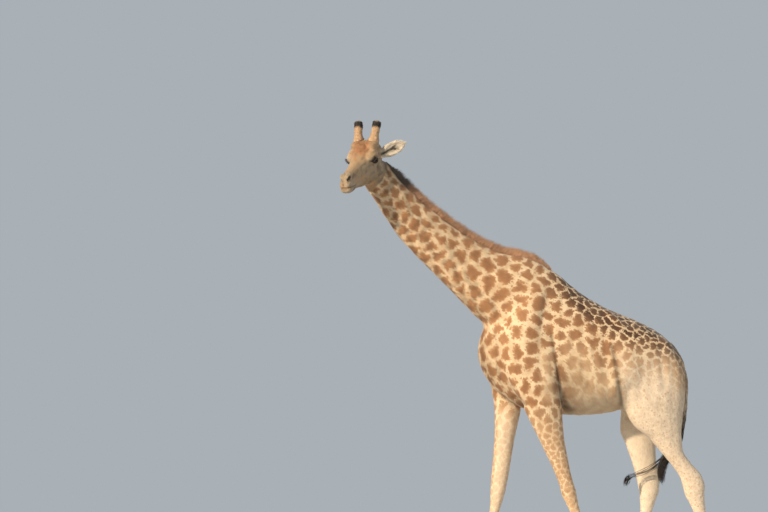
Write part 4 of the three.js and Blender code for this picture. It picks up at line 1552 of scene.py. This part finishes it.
def make_mane(skin):
    """Short stiff hair that stands along the crest of the neck."""
    rng = np.random.default_rng(SEED + 5)
    tree, _ = solid_tree(["mane"])
    ground = skin.scatter(mane_density(skin, tree), MANE_HAIRS, rng)
    out = 0.75 * ground.normals + 0.75 * CREST_WAY + 0.34 * ground.lie
    out += rng.normal(0, 0.07, out.shape)
    out[:, 1] *= 0.55
    out = units(out)
    reach = np.array([depth_through(tree, r, w, 0.12) for r, w in zip(ground.places, out)])
    keep = reach > 0.012
    roots, normals, lie, uv = (v[keep] for v in (ground.places, ground.normals, ground.lie, ground.uv))
    out, reach = out[keep], reach[keep]
    count = len(reach)
    dark = streak(roots, NAPE_START, NAPE_END, NAPE_REACH)
    reach = reach * (rng.uniform(0.90, 1.28, count) + 0.25 * dark * rng.uniform(-1, 1, count))
    reach *= 0.35 + 0.65 * mane_rise(roots)
    t = np.linspace(0, 1, 4)[None, :, None]
    bend = (lie * 0.12)[:, None, :] * t ** 2
    spines = (roots - out * 0.004)[:, None, :] + reach[:, None, None] * (out[:, None, :] * t + bend)
    width = 0.0013 * rng.uniform(0.7, 1.3, count)
    widths = width[:, None] * np.array([1.0, 0.95, 0.7, 0.08])
    facing = normals + 0.5 * CREST_WAY + 0.3 * rng.normal(size=normals.shape)
    facing[:, 1] += np.sign(normals[:, 1]) * 0.6
    sides = np.cross(out, [0, 1.0, 0]) + 0.4 * lie
    values = {"place": roots, "nape": dark}
    mesh = tuft_mesh("mane_hair", spines, widths, 0.55, sides, values, uv, units(facing))
    add_piece("mane_hair", mesh, mane_material("mane"), "mane")
    make_mane_core()


def make_mane_core():
    """A smaller copy of the solid mane that closes the gaps between the hairs."""
    core = smooth_copy("mane", 0.007, 8)
    points, normals = points_of(core), normals_of(core)
    sink = 0.010 + 0.03 * (1 - mane_rise(points))
    put_points(core, points - normals * 0.009 - CREST_WAY * sink[:, None])
    put_vectors(core, "place", points)
    put_mask(core, "along", np.full(len(points), 0.35))
    put_mask(core, "nape", streak(points, NAPE_START, NAPE_END, NAPE_REACH))
    add_piece("mane_core", core, mane_material("mane_core"), "mane", "mane")


# ---- tail tuft ----
# The middle lines of the tuft and of the lock that swings forward across the far hind leg, with
# how far the strands stray from them.
TUFT_MAIN = ([
    [1.30, 0.038, 1.46], [1.266, 0.040, 1.405], [1.20, 0.047, 1.34], [1.152, 0.053, 1.255],
    [1.140, 0.053, 1.17], [1.148, 0.051, 1.105],
], [0.012, 0.026, 0.038, 0.040, 0.032, 0.018])
TUFT_FORWARD = ([
    [1.285, 0.040, 1.43], [1.215, 0.049, 1.36], [1.145, 0.067, 1.285], [1.055, 0.091, 1.215],
    [0.955, 0.103, 1.175], [0.880, 0.099, 1.150], [0.850, 0.093, 1.095],
], [0.012, 0.020, 0.026, 0.030, 0.026, 0.018, 0.014])
# Which line, how many strands, where they start, the least share of the rest they run, their curl.
TUFT_GROUPS = [
    (TUFT_MAIN, 620, (0.0, 0.2), 0.40, 0.006),
    (TUFT_FORWARD, 16, (0.0, 0.2), 0.86, 0.026),
    (TUFT_FORWARD, 60, (0.78, 0.86), 0.60, 0.020),  # the clump at its end
]
TUFT_RINGS = 18
TAIL_HAIRS = 900


def spline(points, shares):
    """A smooth curve through points, read at shares of its length."""
    points = np.asarray(points, float)
    last = len(points) - 1
    at = np.clip(shares, 0, 1) * last
    i = np.clip(at.astype(int), 0, last - 1)
    t = (at - i)[..., None]
    p0, p1 = points[np.maximum(i - 1, 0)], points[i]
    p2, p3 = points[i + 1], points[np.minimum(i + 2, last)]
    return 0.5 * (2 * p1 + (p2 - p0) * t + (2 * p0 - 5 * p1 + 4 * p2 - p3) * t ** 2
                  + (3 * p1 - p0 - 3 * p2 + p3) * t ** 3)


def tuft_strand(rng, line, reach, starts, least, curl):
    """One strand that follows a line, strays within reach of it and curls at its end."""
    start = rng.uniform(*starts)
    shares = np.linspace(start, start + (1 - start) * rng.uniform(least, 1.0), TUFT_RINGS)
    way = unit(rng.normal(size=3)) * math.sqrt(rng.uniform(0.05, 1))
    swing = 0.35 * np.sin(shares * rng.uniform(5, 11) + rng.uniform(0, 6))[:, None]
    aside = unit(rng.normal(size=3)) * 0.6
    turns = rng.uniform(5, 12) * shares + rng.uniform(0, 6)
    loop = np.stack([np.cos(turns), 0.4 * np.sin(turns * 0.7), np.sin(turns)], axis=1)
    loop *= (curl * rng.uniform(0.4, 1.2) * ramp(shares, 0.62, 0.9))[:, None]
    spread = spline(np.array(reach)[:, None], shares)
    return spline(line, shares) + spread * (way + swing * aside) + loop


def make_tuft(skin):
    """Long black locks that hang between the hind legs, and strands that swing forward and curl."""
    rng = np.random.default_rng(SEED + 6)
    spines = np.array([
        tuft_strand(rng, *line, starts, least, curl)
        for line, count, starts, least, curl in TUFT_GROUPS for _ in range(count)
    ])
    roots = spines[:, 0]
    t = np.linspace(0, 1, TUFT_RINGS)
    widths = rng.uniform(0.0014, 0.0026, len(spines))[:, None] * (1 - 0.85 * t ** 2)
    sides = rng.normal(size=(len(spines), 3))
    mesh = tuft_mesh("tuft_locks", spines, widths, 0.6, sides, {"place": roots}, skin.uv_near(roots))
    material = hair_material("tuft", (0.010, 0.008, 0.008), (0.030, 0.020, 0.015), 0.5)
    add_piece("tuft_locks", mesh, material, "tuft", "tail_tuft")
    make_tail_hair(skin, rng, material)


def make_tail_hair(skin, rng, material):
    """Sparse dark hair down the tail, denser toward the tuft."""
    density = skin.part["tail"] * (0.12 + 0.88 * ramp(-skin.points[:, 2], -1.8, -1.45))
    roots = skin.scatter(density, TAIL_HAIRS, rng)
    roots.values = {"place": roots.places}
    long = 0.04 * rng.uniform(0.5, 1.2, TAIL_HAIRS) * (0.6 + ramp(-roots.places[:, 2], -1.8, -1.45))
    widths = np.array([0.0013, 0.0012, 0.0008, 0.0001])
    lay_tufts("tail_hair", material, "tuft", roots, long, np.full(TAIL_HAIRS, 0.25), 0.2, widths)


# ---- hooves ----
SOLE = 0.0035  # what lies this low is flattened onto the ground


def make_hooves():
    material = hoof_material()
    for leg in LEGS:
        for claw in ("outer", "inner"):
            node = f"{leg}_hoof_{claw}"
            mesh = smooth_copy(node, 0.0042, 14)
            points = points_of(mesh)
            low, high = box_of(node)
            points = low + (points - points.min(axis=0)) * (high - low) / np.ptp(points, axis=0)
            points[points[:, 2] < SOLE, 2] = 0.0
            put_points(mesh, points)
            put_vectors(mesh, "place", points)
            put_mask(mesh, "share", points[:, 2] / high[2])
            add_piece(node + "_horn", mesh, material, "hoof", node)


# ---- stage: floor, light and camera ----
SKY = (0.397, 0.434, 0.468, 1)
FLOOR_RADIUS = 30
# Lamps: name, the way to them, strength, colour, and how many degrees wide they look.
LAMPS = [
    ("key", (-0.76, -0.52, 0.42), 4.1, (1.0, 0.85, 0.66), 2.5),
    ("fill", (0.6, -0.7, 0.5), 0.08, (0.9, 0.95, 1.0), 40.0),
    ("back", (0.3, 0.9, 0.6), 0.45, (0.95, 0.97, 1.0), 40.0),
]
PHOTO_WIDTH = 768  # pixels
PHOTO_FOCUS = 7500  # pixels, the camera's distance of 60 m at 125 pixels to the metre
HORIZON_BELOW = 194  # pixels from the photo's middle down to the camera's own height
FILM_WIDTH = 36
CAMERA_TURN = math.radians(-15)
CAMERA_DISTANCE = 60.0
CAMERA_HEIGHT = 1.376
CAMERA_ASIDE = -1.568
DESIGN_MIDDLE = np.array([0.4585, 0.0452, 0])  # where the design's own middle lies in the frame


def make_camera():
    back = np.array([math.sin(CAMERA_TURN), -math.cos(CAMERA_TURN), 0])
    right = np.array([math.cos(CAMERA_TURN), math.sin(CAMERA_TURN), 0])
    data = bpy.data.cameras.new("camera")
    data.lens = PHOTO_FOCUS / PHOTO_WIDTH * FILM_WIDTH
    data.sensor_width = FILM_WIDTH
    data.clip_end = 400
    camera = new_object("camera", data)
    place = DESIGN_MIDDLE + back * CAMERA_DISTANCE + right * CAMERA_ASIDE
    camera.location = place + np.array([0, 0, CAMERA_HEIGHT])
    camera.rotation_euler = (math.pi / 2 + math.atan2(HORIZON_BELOW, PHOTO_FOCUS), 0, CAMERA_TURN)
    bpy.context.scene.camera = camera


def make_stage():
    disc = bmesh.new()
    bmesh.ops.create_circle(disc, cap_ends=True, segments=96, radius=FLOOR_RADIUS)
    mesh = to_mesh(disc, "floor")
    floor = new_object("floor", mesh)
    s = Shader("floor", 0.9)
    speckle = s.noise(s.node("TexCoord").outputs["Object"], 3.0)
    mesh.materials.append(s.finish(s.mix(speckle, (0.60, 0.59, 0.57), (0.66, 0.65, 0.63))))

    world = bpy.data.worlds.new("sky")
    world.use_nodes = True
    background = world.node_tree.nodes["Background"]
    background.inputs["Color"].default_value = SKY
    background.inputs["Strength"].default_value = 1.0
    bpy.context.scene.world = world
    for name, way, strength, colour, angle in LAMPS:
        data = bpy.data.lights.new(name, "SUN")
        data.energy = strength
        data.color = colour
        data.angle = math.radians(angle)
        lamp = new_object(name, data)
        lamp.rotation_euler = Vector(way).to_track_quat("Z", "Y").to_euler()
    bpy.context.scene.view_settings.view_transform = "Standard"


# ---- all of it ----
COAT = coat_material("coat")
the_skin = Skin()
make_eyes()
make_lashes(the_skin)
make_ossicones(the_skin)
make_ear_hair(the_skin)
make_coat(the_skin)
make_mane(the_skin)
make_tuft(the_skin)
make_hooves()
make_stage()
make_camera()
